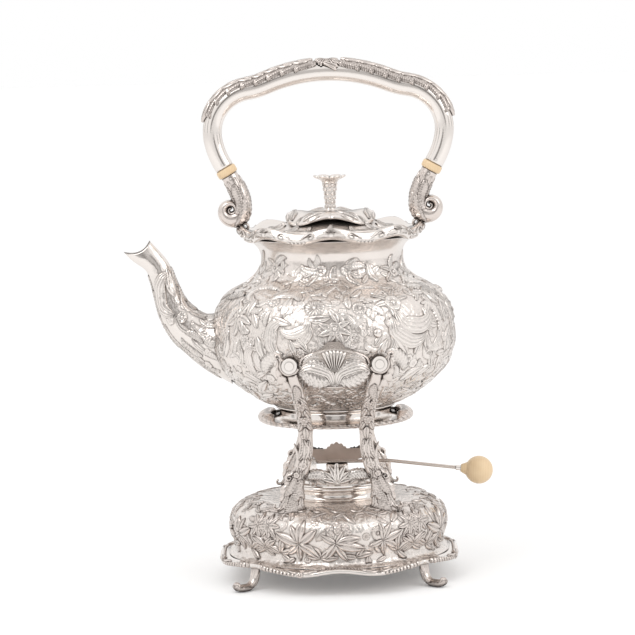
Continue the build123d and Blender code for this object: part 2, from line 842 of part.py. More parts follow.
with BuildPart() as leg_rear_left:
    mirror(leg_rear_right.part, about=Plane.YZ)
save(leg_rear_left, "leg_rear_left")

with BuildPart() as leg_front_right:
    mirror(leg_rear_right.part, about=Plane.XZ)
save(leg_front_right, "leg_front_right")

with BuildPart() as leg_front_left:
    mirror(leg_rear_left.part, about=Plane.XZ)
save(leg_front_left, "leg_front_left")

with BuildPart() as leg_bolts:
    with Locations(*[(x, y, base_top_z - 8) for x, y in leg_feet]):
        Cylinder(leg_bolt_head_radius, 8)
    add(base_hollow.part, mode=Mode.INTERSECT)
    with Locations(*[(x, y, base_top_z - 10) for x, y in leg_feet]):
        Cylinder(leg_bolt_radius, 14, align=(Align.CENTER, Align.CENTER, Align.MIN))
save(leg_bolts, "leg_bolts")

# ---------------------------------------------------------------- aprons
# The upper apron follows the kettle's belly, with a scalloped lens for its outline.
apron_middle_z = (upper_apron_low_z + upper_apron_high_z) / 2 - 6.5
apron_plane = Plane(
    origin=(0, 0, 0),
    x_dir=(sin(radians(apron_half_turn)), cos(radians(apron_half_turn)), 0),
    z_dir=(cos(radians(apron_half_turn)), -sin(radians(apron_half_turn)), 0),
)
with BuildPart() as upper_apron_rear:
    with BuildSketch(apron_plane):
        with BuildLine():
            inner = ThreePointArc(
                (apron_radius - apron_lean, upper_apron_low_z - 3),
                (apron_radius - 0.4, apron_middle_z),
                (apron_radius, upper_apron_high_z + 3),
            )
            outer = ThreePointArc(
                (apron_radius + apron_thickness, upper_apron_high_z + 3),
                (apron_radius + apron_thickness - 0.4, apron_middle_z),
                (apron_radius + apron_thickness - apron_lean, upper_apron_low_z - 3),
            )
            Line(inner @ 1, outer @ 0)
            Line(outer @ 1, inner @ 0)
        make_face()
    revolve(axis=Axis.Z, revolution_arc=2 * apron_half_turn)
    with BuildSketch(Plane.XZ.offset(-60)):
        with BuildLine():
            side = upper_apron_half_width
            ThreePointArc((-side, apron_middle_z), (0, upper_apron_high_z), (side, apron_middle_z))
            ThreePointArc((side, apron_middle_z), (0, upper_apron_low_z), (-side, apron_middle_z))
        make_face()
        with Locations((0, upper_apron_high_z - 4)):
            Circle(8)
    extrude(amount=-60, mode=Mode.INTERSECT)
    for leg in (leg_rear_right, leg_rear_left):
        add(leg.part, mode=Mode.SUBTRACT)
save(upper_apron_rear, "upper_apron_rear")

with BuildPart() as upper_apron_front:
    mirror(upper_apron_rear.part, about=Plane.XZ)
save(upper_apron_front, "upper_apron_front")

# The lower apron is a palmette of seven leaves between leaf wings.
with BuildPart() as lower_apron_rear:
    leaf_root_z = lower_apron_low_z + 3.0
    leaf_length = lower_apron_high_z - leaf_root_z
    with BuildSketch(Plane.XZ.offset(-lower_apron_y)):
        with BuildLine():
            wing_x = leg_stations[6][0] + 1
            wing_z = (lower_apron_low_z + lower_apron_high_z) / 2
            ThreePointArc((-wing_x, wing_z + 3.5), (0, lower_apron_high_z - 5), (wing_x, wing_z + 3.5))
            Line((wing_x, wing_z + 3.5), (wing_x, wing_z - 2))
            ThreePointArc((wing_x, wing_z - 2), (0, lower_apron_low_z), (-wing_x, wing_z - 2))
            Line((-wing_x, wing_z - 2), (-wing_x, wing_z + 3.5))
        make_face()
        for tilt in range(-60, 61, 20):
            leaf_end = leaf_length * (1 - abs(tilt) / 400)
            with Locations(
                Location(
                    (0.5 * leaf_end * sin(radians(tilt)), leaf_root_z + 0.5 * leaf_end * cos(radians(tilt))),
                    -tilt,
                )
            ):
                Ellipse(2.7, 0.5 * leaf_end)
    extrude(amount=-lower_apron_thickness)
    for leg in (leg_rear_right, leg_rear_left):
        add(leg.part, mode=Mode.SUBTRACT)
save(lower_apron_rear, "lower_apron_rear")

with BuildPart() as lower_apron_front:
    mirror(lower_apron_rear.part, about=Plane.XZ)
save(lower_apron_front, "lower_apron_front")

# ---------------------------------------------------------------- spirit lamp
ring_top_z = base_top_z + ring_height
lamp_radius = ring_bore_radius - clearance
cover_dome_z = ring_top_z + lamp_wall + lamp_cover_rise


def reservoir_form(inset):
    """The drum of the lamp with its rounded bottom edge, moved in by inset."""
    low_z = ring_top_z - lamp_depth + inset
    with BuildPart() as drum:
        with BuildSketch(Plane.XY.offset(low_z)):
            Circle(lamp_radius - inset)
        extrude(amount=ring_top_z - low_z)
        fillet(drum.faces().sort_by(Axis.Z)[0].edges(), lamp_edge_round - inset)
    return drum.part


with BuildPart() as lamp_reservoir:
    add(reservoir_form(0))
    add(reservoir_form(lamp_wall), mode=Mode.SUBTRACT)
save(lamp_reservoir, "lamp_reservoir")

cover_edge = (lamp_radius - 2 * lamp_wall, ring_top_z + lamp_wall)
cover_slope = (0.55 * lamp_radius, cover_dome_z - 0.3 * lamp_cover_rise)
cover_peak = (wick_tube_radius + fit_gap, cover_dome_z)
with BuildPart() as lamp_cover:
    with BuildSketch(Plane.XZ):
        with BuildLine():
            under = ThreePointArc(
                (cover_peak[0], cover_peak[1] - lamp_wall),
                (cover_slope[0], cover_slope[1] - lamp_wall),
                (cover_edge[0], cover_edge[1] - lamp_wall),
            )
            Polyline(
                under @ 1,
                (lamp_cover_radius, ring_top_z),
                (lamp_cover_radius, ring_top_z + lamp_wall),
                cover_edge,
            )
            ThreePointArc(cover_edge, cover_slope, cover_peak)
            Line(cover_peak, under @ 0)
        make_face()
    revolve(axis=Axis.Z)
save(lamp_cover, "lamp_cover")

with BuildPart() as wick_tube:
    with BuildSketch(Plane.XY.offset(cover_dome_z - 6)):
        Circle(wick_tube_radius)
        Circle(wick_tube_radius - wick_tube_wall, mode=Mode.SUBTRACT)
    extrude(amount=6 + wick_tube_rise)
    with BuildSketch(Plane.XY.offset(cover_dome_z)):
        Circle(wick_tube_radius + 1.2)
        Circle(wick_tube_radius - wick_tube_wall, mode=Mode.SUBTRACT)
    extrude(amount=0.6)
save(wick_tube, "wick_tube")

with BuildPart() as wick:
    wick_foot_z = ring_top_z - lamp_depth + lamp_wall + 1
    with BuildSketch(Plane.XY.offset(wick_foot_z)):
        Circle(wick_tube_radius - wick_tube_wall - fit_gap)
    extrude(amount=cover_dome_z + wick_tube_rise + wick_rise - wick_foot_z)
save(wick, "wick")

# The snuffer cap hangs under a long lever, which turns on a pin between two ears.
cap_top_z = cover_dome_z + 0.9 + snuffer_height
lever_z = cap_top_z + lever_radius
with BuildPart() as snuffer_cap:
    with BuildSketch(Plane.XY.offset(cap_top_z - snuffer_height)):
        Circle(snuffer_radius)
    extrude(amount=snuffer_height)
    fillet(snuffer_cap.faces().sort_by(Axis.Z)[-1].edges(), 1.5)
    with BuildSketch(Plane.XY.offset(cap_top_z - snuffer_height)):
        Circle(snuffer_radius - snuffer_wall)
    extrude(amount=snuffer_height - snuffer_wall, mode=Mode.SUBTRACT)
save(snuffer_cap, "snuffer_cap")

droop = Vector(cos(radians(lever_droop)), 0, -sin(radians(lever_droop)))
lever_end = Vector(lever_bend_x, 0, lever_z) + (lever_end_x - lever_bend_x) * droop
pivot = (lever_pivot_x, 0, lever_z)
pivot_plane = Plane(origin=pivot, x_dir=(1, 0, 0), z_dir=(0, -1, 0))
with BuildPart() as snuffer_lever:
    with BuildLine() as lever_line:
        FilletPolyline(pivot, (lever_bend_x, 0, lever_z), lever_end, radius=60)
    with BuildSketch(Plane(origin=pivot, z_dir=(1, 0, 0))):
        Circle(lever_radius)
    sweep(path=lever_line.line)
    with BuildSketch(pivot_plane):
        Circle(lever_eye_radius)
    extrude(amount=lever_eye_width / 2, both=True)
    with Locations(pivot_plane):
        Cylinder(lever_pin_radius + fit_gap, 20, mode=Mode.SUBTRACT)
    add(snuffer_cap.part, mode=Mode.SUBTRACT)
save(snuffer_lever, "snuffer_lever")

with BuildPart() as lever_ears:
    ear_y = lever_eye_width / 2 + 0.2
    for side in (-1, 1):
        with BuildSketch(pivot_plane.offset(side * (ear_y + ear_thickness / 2))):
            Circle(lever_eye_radius + 0.6)
            Rectangle(
                2 * (lever_eye_radius + 0.6), lever_z - cover_dome_z + 2, align=(Align.CENTER, Align.MAX)
            )
            Circle(lever_pin_radius + fit_gap, mode=Mode.SUBTRACT)
        extrude(amount=ear_thickness / 2, both=True)
    with BuildSketch(Plane.XY.offset(cover_dome_z - 2)):
        with Locations((lever_pivot_x, 0)):
            Rectangle(2 * (lever_eye_radius + 0.6), 2 * (ear_y + ear_thickness))
    extrude(amount=2.4)
    # they end on the cover's dome
    with BuildSketch(Plane.XZ):
        with BuildLine():
            ThreePointArc(cover_edge, cover_slope, cover_peak)
            Polyline(cover_peak, (0, cover_dome_z), (0, ring_top_z), (cover_edge[0], ring_top_z), cover_edge)
        make_face()
    revolve(axis=Axis.Z, mode=Mode.SUBTRACT)
save(lever_ears, "lever_ears")

with BuildPart() as lever_pin:
    with Locations(pivot_plane):
        Cylinder(lever_pin_radius, 2 * (ear_y + ear_thickness) + 0.8)
save(lever_pin, "lever_pin")

end_plane = Plane(origin=lever_end, x_dir=(0, 1, 0), z_dir=droop)
with BuildPart() as knob_ferrule:
    with BuildSketch(end_plane.offset(-3.5)):
        Circle(ferrule_radius)
        Circle(lever_radius, mode=Mode.SUBTRACT)
    extrude(amount=3.5)
    add(snuffer_lever.part, mode=Mode.SUBTRACT)
save(knob_ferrule, "knob_ferrule")

with BuildPart() as knob:
    with BuildSketch(end_plane):
        Circle(ferrule_radius + 0.8)
    with BuildSketch(end_plane.offset(knob_neck_length)):
        Circle(knob_neck_radius)
    loft()
    with Locations(end_plane.offset(knob_neck_length + 0.88 * knob_radius)):
        Sphere(knob_radius)
save(knob, "knob")
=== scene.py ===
import math
from functools import partial

import bpy
import numpy as np
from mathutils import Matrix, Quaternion


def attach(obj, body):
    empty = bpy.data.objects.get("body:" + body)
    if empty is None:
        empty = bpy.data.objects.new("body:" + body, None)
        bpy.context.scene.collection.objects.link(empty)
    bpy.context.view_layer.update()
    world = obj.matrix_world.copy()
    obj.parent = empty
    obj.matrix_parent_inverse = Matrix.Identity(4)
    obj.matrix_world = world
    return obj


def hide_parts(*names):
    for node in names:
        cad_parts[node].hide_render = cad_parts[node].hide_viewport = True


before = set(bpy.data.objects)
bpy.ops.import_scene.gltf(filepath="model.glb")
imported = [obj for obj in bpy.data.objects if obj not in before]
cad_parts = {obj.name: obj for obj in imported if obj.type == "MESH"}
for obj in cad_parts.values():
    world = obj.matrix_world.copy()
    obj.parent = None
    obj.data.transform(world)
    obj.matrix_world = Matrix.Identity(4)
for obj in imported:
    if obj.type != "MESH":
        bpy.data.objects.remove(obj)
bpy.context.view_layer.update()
bpy.ops.object.select_all(action="DESELECT")

# ---------------------------------------------------------------- silver
# The whole kettle and its stand are one finish: silver, polished on its high places, and dark in
# every hollow: partly the oxide that real silver keeps in its fine recesses, and partly painted
# shade in the wider hollows, under overhangs and between parts. Shaping below is in millimetres,
# angles in radians.
MM = 0.001
TURN = 2 * math.pi


class Tone:
    """A value in a finish. Sums and products of tones become Math nodes."""

    def __init__(self, finish, socket):
        self.finish = finish
        self.socket = socket

    def maths(self, operation, one, other):
        return self.finish.node("Math", {"operation": operation}, {0: one, 1: other})

    def __add__(self, other):
        return self.maths("ADD", self, other)

    def __sub__(self, other):
        return self.maths("SUBTRACT", self, other)

    def __rsub__(self, other):
        return self.maths("SUBTRACT", other, self)

    def __mul__(self, other):
        return self.maths("MULTIPLY", self, other)

    def __pow__(self, other):
        return self.maths("POWER", self, other)

    __radd__ = __add__
    __rmul__ = __mul__


class Finish:
    """A surface finish: one Principled shader, with tones fed to its sockets."""

    def __init__(self, name, tree=None, **constants):
        if tree is None:
            self.material = bpy.data.materials.new(name)
            self.material.use_nodes = True
            tree = self.material.node_tree
            self.shader = tree.nodes["Principled BSDF"]
            for socket, value in constants.items():
                self.shader.inputs[socket.replace("_", " ")].default_value = value
        self.tree = tree

    def node(self, kind, settings=None, sockets=None, output=0):
        """A node of a kind: settings first, then its sockets' values or links."""
        made = self.tree.nodes.new("ShaderNode" + kind)
        for setting, value in (settings or {}).items():
            setattr(made, setting, value)
        for socket, value in (sockets or {}).items():
            if isinstance(value, Tone):
                self.tree.links.new(value.socket, made.inputs[socket])
            else:
                made.inputs[socket].default_value = value
        return Tone(self, made.outputs[output])

    def feed(self, socket, tone):
        self.tree.links.new(tone.socket, self.shader.inputs[socket])

    def bump(self, height, strength=1.0):
        """Feeds a height in millimetres to the normal."""
        sockets = {"Strength": strength, "Distance": MM, "Height": height}
        self.feed("Normal", self.node("Bump", None, sockets))

    def step(self, tone, start, end, first=0.0, last=1.0):
        """A tone that goes smoothly from first to last while another goes from start to end."""
        sockets = {0: tone, 1: start, 2: end, 3: first, 4: last}
        return self.node("MapRange", {"interpolation_type": "SMOOTHSTEP"}, sockets)

    def mix(self, share, low, high):
        """A colour between two, by a share from 0 to 1."""
        colours = [c if isinstance(c, Tone) else (*c, 1) for c in (low, high)]
        return self.node(
            "Mix", {"data_type": "RGBA"}, {0: share, 6: colours[0], 7: colours[1]}, output=2
        )


def silver(
    name, stipple=0.0, gloss=0.17, tarnish=0.25, swell=0.1, bright=(0.90, 0.85, 0.81), depth=1.0,
    dapple=0.0,
):
    """Silver with dark hollows: the oxide that real silver keeps in its fine recesses, and painted
    shade in its wider hollows and between parts. stipple is the depth of its punched ground, and
    swell that of the soft unevenness left by the hammer, in millimetres. dapple is the height of
    the small bumps of the close ornament. depth is how dark the hollows are painted, oxide and
    shade alike."""
    finish = Finish(name, Metallic=1.0)
    spot = finish.node("TexCoord", output=3)
    # Two occlusion tones darken the colour. crease, within about a millimetre, stands for the oxide
    # left in the fine chased recesses, and for painted shade where ornament meets its ground.
    # hollow, within 5 mm, is painted shade in wider hollows, under overhangs and between parts.
    crease = finish.node("AmbientOcclusion", {"samples": 6}, {"Distance": 1.1 * MM}, output=1)
    hollow = finish.node("AmbientOcclusion", {"samples": 4}, {"Distance": 5.0 * MM}, output=1)
    clear = (crease ** (1.9 * depth)) * (hollow ** (0.6 * depth))
    cloud = finish.node("TexNoise", None, {"Vector": spot, "Scale": 70.0, "Detail": 3.0})
    fine = finish.node("TexNoise", None, {"Vector": spot, "Scale": 900.0, "Detail": 2.0})
    worn = finish.mix(cloud * tarnish, bright, (0.74, 0.63, 0.57))
    # Painted shade with oxide: the colour goes to a dark brown where the occlusion tones are low.
    finish.feed("Base Color", finish.mix(clear, (0.115, 0.092, 0.08), worn))
    finish.feed("Roughness", cloud * 0.10 + fine * 0.05 + (1 - clear) * 0.25 + (gloss - 0.075))
    height = fine * 0.012 + cloud * swell
    if stipple:
        punch = finish.node(
            "TexVoronoi", {"feature": "SMOOTH_F1"}, {"Vector": spot, "Scale": 1150.0}
        )
        lump = finish.node("TexVoronoi", {"feature": "SMOOTH_F1"}, {"Vector": spot, "Scale": 330.0})
        over = finish.node("SeparateXYZ", None, {0: spot}, output=2)
        below_neck = finish.node("MapRange", None, {0: over, 1: 0.226, 2: 0.219, 3: 0.0, 4: 1.0})
        height = height + (punch * stipple + lump * dapple) * below_neck
    finish.bump(height)
    return finish


polished = silver("polished_silver", gloss=0.11, tarnish=0.15, swell=0.03, depth=0.45)
chased = silver("chased_silver", stipple=0.02, gloss=0.18, swell=0.12, dapple=0.35)
toned = silver(
    "toned_silver", stipple=0.03, gloss=0.19, tarnish=0.5, swell=0.12, bright=(0.80, 0.74, 0.70),
    depth=1.5, dapple=0.35,
)
matted = silver("matted_silver", stipple=0.13, gloss=0.24, tarnish=0.4, swell=0.5, dapple=0.7)
# Painted shade: a darker silver for pieces that lean over the table or lie under the kettle. It
# stands for the shade and the dark reflections that they catch.
shaded = silver("shaded_silver", stipple=0.06, gloss=0.22, tarnish=0.6, bright=(0.62, 0.56, 0.51))
# Painted deep shade, with real tarnish: a dark, rough, much tarnished silver for the rear plate and
# its leaves, which lie at the back of the stand.
tarnish_and_deep_shade = silver("unpolished_silver", gloss=0.32, tarnish=1.2, bright=(0.40, 0.32, 0.27), depth=0.5)


def refinish(name, finish):
    """Gives a CAD node that shows unchanged its finish."""
    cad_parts[name].data.materials.clear()
    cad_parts[name].data.materials.append(finish.material)


# The CAD's own pieces that show unchanged are polished silver too.
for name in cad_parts:
    refinish(name, polished)


# ---------------------------------------------------------------- kettle body
# The vessel is raised from one sheet of silver: a low belly, a sharp shoulder, a short neck
# and a flared mouth. Its inside is plain, and its outside carries the chased work below.
class Bend:
    """A smooth line through a few points, that doesn't swing past them. Columns after the first
    two or three, given by measure, are sizes that change along the line."""

    def __init__(self, *points, measure=3):
        p = np.array(points, float)
        step = np.linalg.norm(np.diff(p[:, :measure], axis=0), axis=1)[:, None]
        slope = np.diff(p, axis=0) / step
        before, after = slope[:-1], slope[1:]
        w0, w1 = 2 * step[1:] + step[:-1], step[1:] + 2 * step[:-1]
        same = before * after > 0
        with np.errstate(divide="ignore", invalid="ignore"):
            inner = np.where(same, (w0 + w1) / (w0 / before + w1 / after), 0)
        tangent = np.vstack([slope[:1], inner, slope[-1:]])
        t = np.linspace(0, 1, 25)[:, None]
        spans = [
            (1 + 2 * t) * (1 - t) ** 2 * p[n] + t * (1 - t) ** 2 * step[n] * tangent[n]
            + t * t * (3 - 2 * t) * p[n + 1] + t * t * (t - 1) * step[n] * tangent[n + 1]
            for n in range(len(p) - 1)
        ]
        self.line = np.vstack(spans)
        run = np.linalg.norm(np.diff(self.line[:, :measure], axis=0), axis=1)
        self.run = np.concatenate([[0], np.cumsum(run)])
        self.length = self.run[-1]

    def at(self, distance):
        """Points at distances along the line."""
        return np.stack([np.interp(distance, self.run, c) for c in self.line.T], -1)


class Skin:
    """A surface on which ornament is laid. It gives a place for an angle and a length."""

    def place(self, a, s):
        raise NotImplementedError

    def normal(self, a, s):
        small_a, small_s = 1e-3, 0.05
        across = self.place(a + small_a, s) - self.place(a - small_a, s)
        along = self.place(a, s + small_s) - self.place(a, s - small_s)
        n = np.cross(across, along)
        return n / np.maximum(np.linalg.norm(n, axis=-1, keepdims=True), 1e-9)


class Turned(Skin):
    """A form turned about the Z axis, from a profile of radius and height, with lobes."""

    def __init__(self, profile, lobe=None):
        self.profile = profile
        self.lobe = lobe

    def place(self, a, s):
        radius, z = np.moveaxis(self.profile.at(s), -1, 0)
        if self.lobe:
            radius, z = self.lobe(a, radius, z)
        return np.stack([radius * np.cos(a), radius * np.sin(a), z + 0 * a], -1)


def points_of(piece):
    flat = np.empty(len(piece.data.vertices) * 3)
    piece.data.vertices.foreach_get("co", flat)
    return flat.reshape(-1, 3)


def shape(piece, points):
    """Writes a mesh's points, given in millimetres."""
    piece.data.vertices.foreach_set("co", (np.asarray(points) * MM).ravel())
    piece.data.update()


def edit(piece, *steps):
    """Runs edit-mode operators on the whole of a piece."""
    bpy.ops.object.select_all(action="DESELECT")
    bpy.context.view_layer.objects.active = piece
    piece.select_set(True)
    bpy.ops.object.mode_set(mode="EDIT")
    bpy.ops.mesh.select_all(action="SELECT")
    for step, options in steps:
        step(**options)
    bpy.ops.object.mode_set(mode="OBJECT")


def wrapped(name, across, along, surface, closed=True):
    """A fine grid wrapped into a piece by surface(u, v), with u and v from 0 to 1."""
    bpy.ops.object.select_all(action="DESELECT")
    bpy.ops.mesh.primitive_grid_add(x_subdivisions=across, y_subdivisions=along, size=1)
    piece = bpy.context.object
    piece.name = piece.data.name = name
    flat = points_of(piece)
    shape(piece, surface(flat[:, 0] + 0.5, flat[:, 1] + 0.5))
    if closed:
        edit(
            piece,
            (bpy.ops.mesh.remove_doubles, {"threshold": 2e-6}),
            (bpy.ops.mesh.normals_make_consistent, {"inside": False}),
        )
    bpy.ops.object.shade_smooth()
    return piece


def turned(name, profile, across=96, along=60, lobe=None, even=None):
    """A piece turned about the Z axis. even, if given, spreads the rows along the profile."""
    skin = Turned(profile, lobe)
    rows = even or (lambda v: v)
    return wrapped(
        name, across, along, lambda u, v: skin.place(TURN * u, profile.length * rows(v))
    )


def fit(piece, finish, body, *nodes, slot="silver"):
    """Gives a piece its finish and its body, and lets it stand for CAD nodes."""
    piece.data.materials.clear()
    piece.data.materials.append(finish.material)
    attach(piece, body)
    if nodes:
        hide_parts(*nodes)
    return piece


vessel_side = Bend(
    (42, 122), (51.2, 125.9), (67.7, 137.1), (81.1, 152), (85, 168), (84.4, 178.9), (82, 189.6),
    (76.4, 199), (67.4, 205.1), (57.7, 210.1), (50.7, 218.3), (49.5, 225.5), (50.7, 231.3),
    (54.4, 236), (61, 240.5),
)
wall = 1.2
inner_side = vessel_side.line[::-24] - [wall, 0]
inner_side[-1] += [0, wall]
vessel_line = Bend((0.01, 122), (41.7, 122), *vessel_side.line[::12], *inner_side, (0.01, 123.2))
vessel = Turned(vessel_side)


def vessel_rows(v):
    """Most rows of the vessel's grid lie on its outside."""
    return np.interp(v, [0, 0.04, 0.72, 1], [0, 0.085, 0.5, 1])


body = turned("vessel", vessel_line, across=240, along=150, even=vessel_rows)
fit(body, matted, "kettle", "kettle_body", "kettle_bottom", "kettle_neck")


# ---------------------------------------------------------------- chased ornament
# Flowers, leaves, shells and scrolls, pushed out from behind and then chased from the front.
# Each is made once, lying flat and facing up, and copies are laid on the skins of the pieces.
patterns = {}


def pattern(kind, piece):
    """Keeps a flat motif as a mesh to copy, and takes its object out of the scene."""
    piece.data.name = f"pattern_{kind}"
    patterns[kind] = (points_of(piece) / MM, piece.data)
    bpy.data.objects.remove(piece)


def blade(
    kind, line, outline, rise, lobes=0, vein=0.0, flute=0.0, steps=(36, 10), slant=0.16, strands=0
):
    """A leaf or scroll along a line: outline gives its half width, rise its height. Lobes cut
    its edges, and strands are ribs that run along it."""
    spine = Bend(*line)

    def surface(u, v):
        across = 2 * v - 1
        edge = np.abs(across)
        ripple = np.abs(np.sin(math.pi * lobes * (u - slant * edge))) if lobes else 1 + 0 * u
        half = outline(u) * (1 - 0.3 * (1 - ripple ** 0.7) * (lobes > 0))
        centre = spine.at(u * spine.length)
        ahead = spine.at(np.minimum(u + 0.01, 1) * spine.length)
        back = spine.at(np.maximum(u - 0.01, 0) * spine.length)
        way = (ahead - back) / np.linalg.norm(ahead - back, axis=-1, keepdims=True)
        side = np.stack([-way[:, 1], way[:, 0]], -1)
        crown = np.sqrt(np.clip(1 - edge ** 2.2, 0, 1))
        height = rise * crown * (1 - flute * (1 - ripple) * (0.3 + edge))
        height *= np.minimum(1, 0.35 + outline(u) / outline(np.array([0.45]))[0])
        height -= vein * np.exp(-(across / 0.16) ** 2) * crown
        if strands:
            height -= 0.26 * rise * crown * (1 - np.abs(np.sin(math.pi * strands * v)) ** 0.6)
        height = np.where(edge > 0.985, -0.5, height)
        flat = centre - side * (across * half)[:, None]
        return np.column_stack([flat, height])

    piece = wrapped(f"made_{kind}", steps[0], steps[1], surface, closed=False)
    pattern(kind, piece)


def bloom(kind, petals, rise, cup=0.45, heart=0.24, notch=0.25, steps=(50, 12)):
    """An open flower of unit radius, with hollow petals round a raised heart."""

    def surface(u, v):
        a = TURN * u
        wave = np.abs(np.cos(petals * a / 2))
        reach = 1 - notch * (1 - wave ** 0.45)
        dent = 1 - 0.07 * np.exp(-((wave - 1) / 0.02) ** 2)
        far = v * reach * dent
        petal = np.sin(math.pi * np.clip((v - heart) / (1 - heart), 0, 1) ** 0.9)
        lip = np.exp(-((v - 0.86) / 0.1) ** 2)
        height = rise * (0.35 + 0.25 * petal + cup * lip) * (0.45 + 0.55 * wave ** 0.6)
        height += 0.05 * rise * np.cos(petals * 5 * a) * petal
        heart_dome = np.sqrt(np.clip(1 - (v / heart) ** 2, 0, 1))
        height = np.where(v < heart, rise * (0.25 + 0.75 * heart_dome), height)
        height -= 0.4 * rise * np.exp(-((v - heart) / 0.05) ** 2)
        height = np.where(v > 0.99, -0.35, height)
        return np.column_stack([far * np.cos(a), far * np.sin(a), height])

    piece = wrapped(f"made_{kind}", steps[0], steps[1], surface, closed=False)
    edit(piece, (bpy.ops.mesh.remove_doubles, {"threshold": 1e-6}))
    pattern(kind, piece)


def fan(kind, spread, flutes, rise, steps=(54, 8)):
    """A fluted shell that opens upwards by spread each side."""

    def surface(u, v):
        ridge = np.abs(np.sin(math.pi * flutes * u))
        far = 0.16 + 0.84 * v * (0.93 + 0.07 * ridge)
        a = math.pi / 2 + spread * (1 - 2 * u)
        height = rise * (0.25 + 0.75 * ridge ** 0.8) * np.sin(math.pi * (0.12 + 0.8 * v)) ** 0.7
        edge = (v > 0.985) | (v < 0.01) | (u > 0.995) | (u < 0.005)
        height = np.where(edge, -0.35, height)
        return np.column_stack([far * np.cos(a), far * np.sin(a), height])

    pattern(kind, wrapped(f"made_{kind}", steps[0], steps[1], surface, closed=False))


def spiral(centre, start, end, first, turns, count=40):
    """Points of a flat spiral whose radius goes from start to end, beginning at angle first."""
    t = np.linspace(0, 1, count)
    radius, a = start + (end - start) * t ** 0.8, first + TURN * turns * t
    return np.column_stack([centre[0] + radius * np.cos(a), centre[1] + radius * np.sin(a)])


def oval(full):
    return lambda u: full * np.sin(math.pi * np.clip(u, 0.02, 0.98) ** 0.85) ** 0.75 + 0.015


def tapered(full, end=0.3):
    def width(u):
        ends = np.clip(12 * u, 0.3, 1) * np.clip(9 * (1 - u), 0.4, 1)
        return full * (1 - (1 - end) * u) * ends

    return width


def swirl(kind, flutes, twist, rise, steps=(64, 8)):
    """A round whorl of unit radius whose flutes turn as they run out from a raised eye."""

    def surface(u, v):
        a = TURN * u
        ridge = np.abs(np.sin(flutes / 2 * a + twist * v))
        far = v * (0.9 + 0.1 * ridge)
        height = rise * (0.3 + 0.7 * ridge ** 0.7) * np.sin(math.pi * np.clip(v, 0.1, 0.97)) ** 0.5
        height = np.where(v < 0.2, rise * np.sqrt(1 - (v / 0.21) ** 2), height)
        height = np.where(v > 0.99, -0.3, height)
        return np.column_stack([far * np.cos(a), far * np.sin(a), height])

    piece = wrapped(f"made_{kind}", steps[0], steps[1], surface, closed=False)
    edit(piece, (bpy.ops.mesh.remove_doubles, {"threshold": 1e-6}))
    pattern(kind, piece)


blade("leaf", [(0, 0), (0.5, 0.04), (1, 0)], oval(0.21), 0.095, vein=0.05, steps=(14, 8))
blade("frond", [(0, 0), (0.25, 0.22), (0.6, 0.22), (0.9, 0.0), (1, -0.22)], oval(0.2), 0.05,
      lobes=13, flute=0.35, steps=(54, 6), slant=0.5)
swirl("rosette", 16, 3.4, 0.17)
bloom("bead", 1, 0.7, cup=0.0, heart=0.98, notch=0.0, steps=(12, 5))
blade("sprig_leaf", [(0, 0), (0.5, 0.1), (1, 0)], oval(0.17), 0.075, lobes=7, vein=0.05, flute=0.35,
      steps=(28, 8))
blade("acanthus", [(0, 0), (0.4, 0.12), (0.8, 0.05), (1, -0.13)], oval(0.26), 0.085, lobes=9,
      vein=0.03, flute=0.55, steps=(45, 8))
blade("plume", [(0, 0), (0.3, 0.24), (0.65, 0.2), (0.92, -0.02), (1, -0.24)], oval(0.19), 0.06,
      strands=5, steps=(32, 20))
blade("scroll", np.vstack([[(0, 0), (0.3, 0.17)], spiral((0.72, 0.0), 0.3, 0.07, 2.2, -1.35)]),
      tapered(0.075), 0.07, vein=0.02, steps=(48, 6))
bloom("flower", 5, 0.2, steps=(35, 8))
bloom("rose", 6, 0.26, cup=0.3, heart=0.34, notch=0.18, steps=(42, 9))
bloom("aster", 9, 0.2, cup=0.25, heart=0.3, notch=0.3, steps=(54, 7))
fan("shell", 1.15, 9, 0.2)
fan("scallop", 0.5, 7, 0.05, steps=(63, 14))
bloom("posy", 5, 0.3, cup=0.1, heart=0.2, notch=0.32, steps=(35, 7))


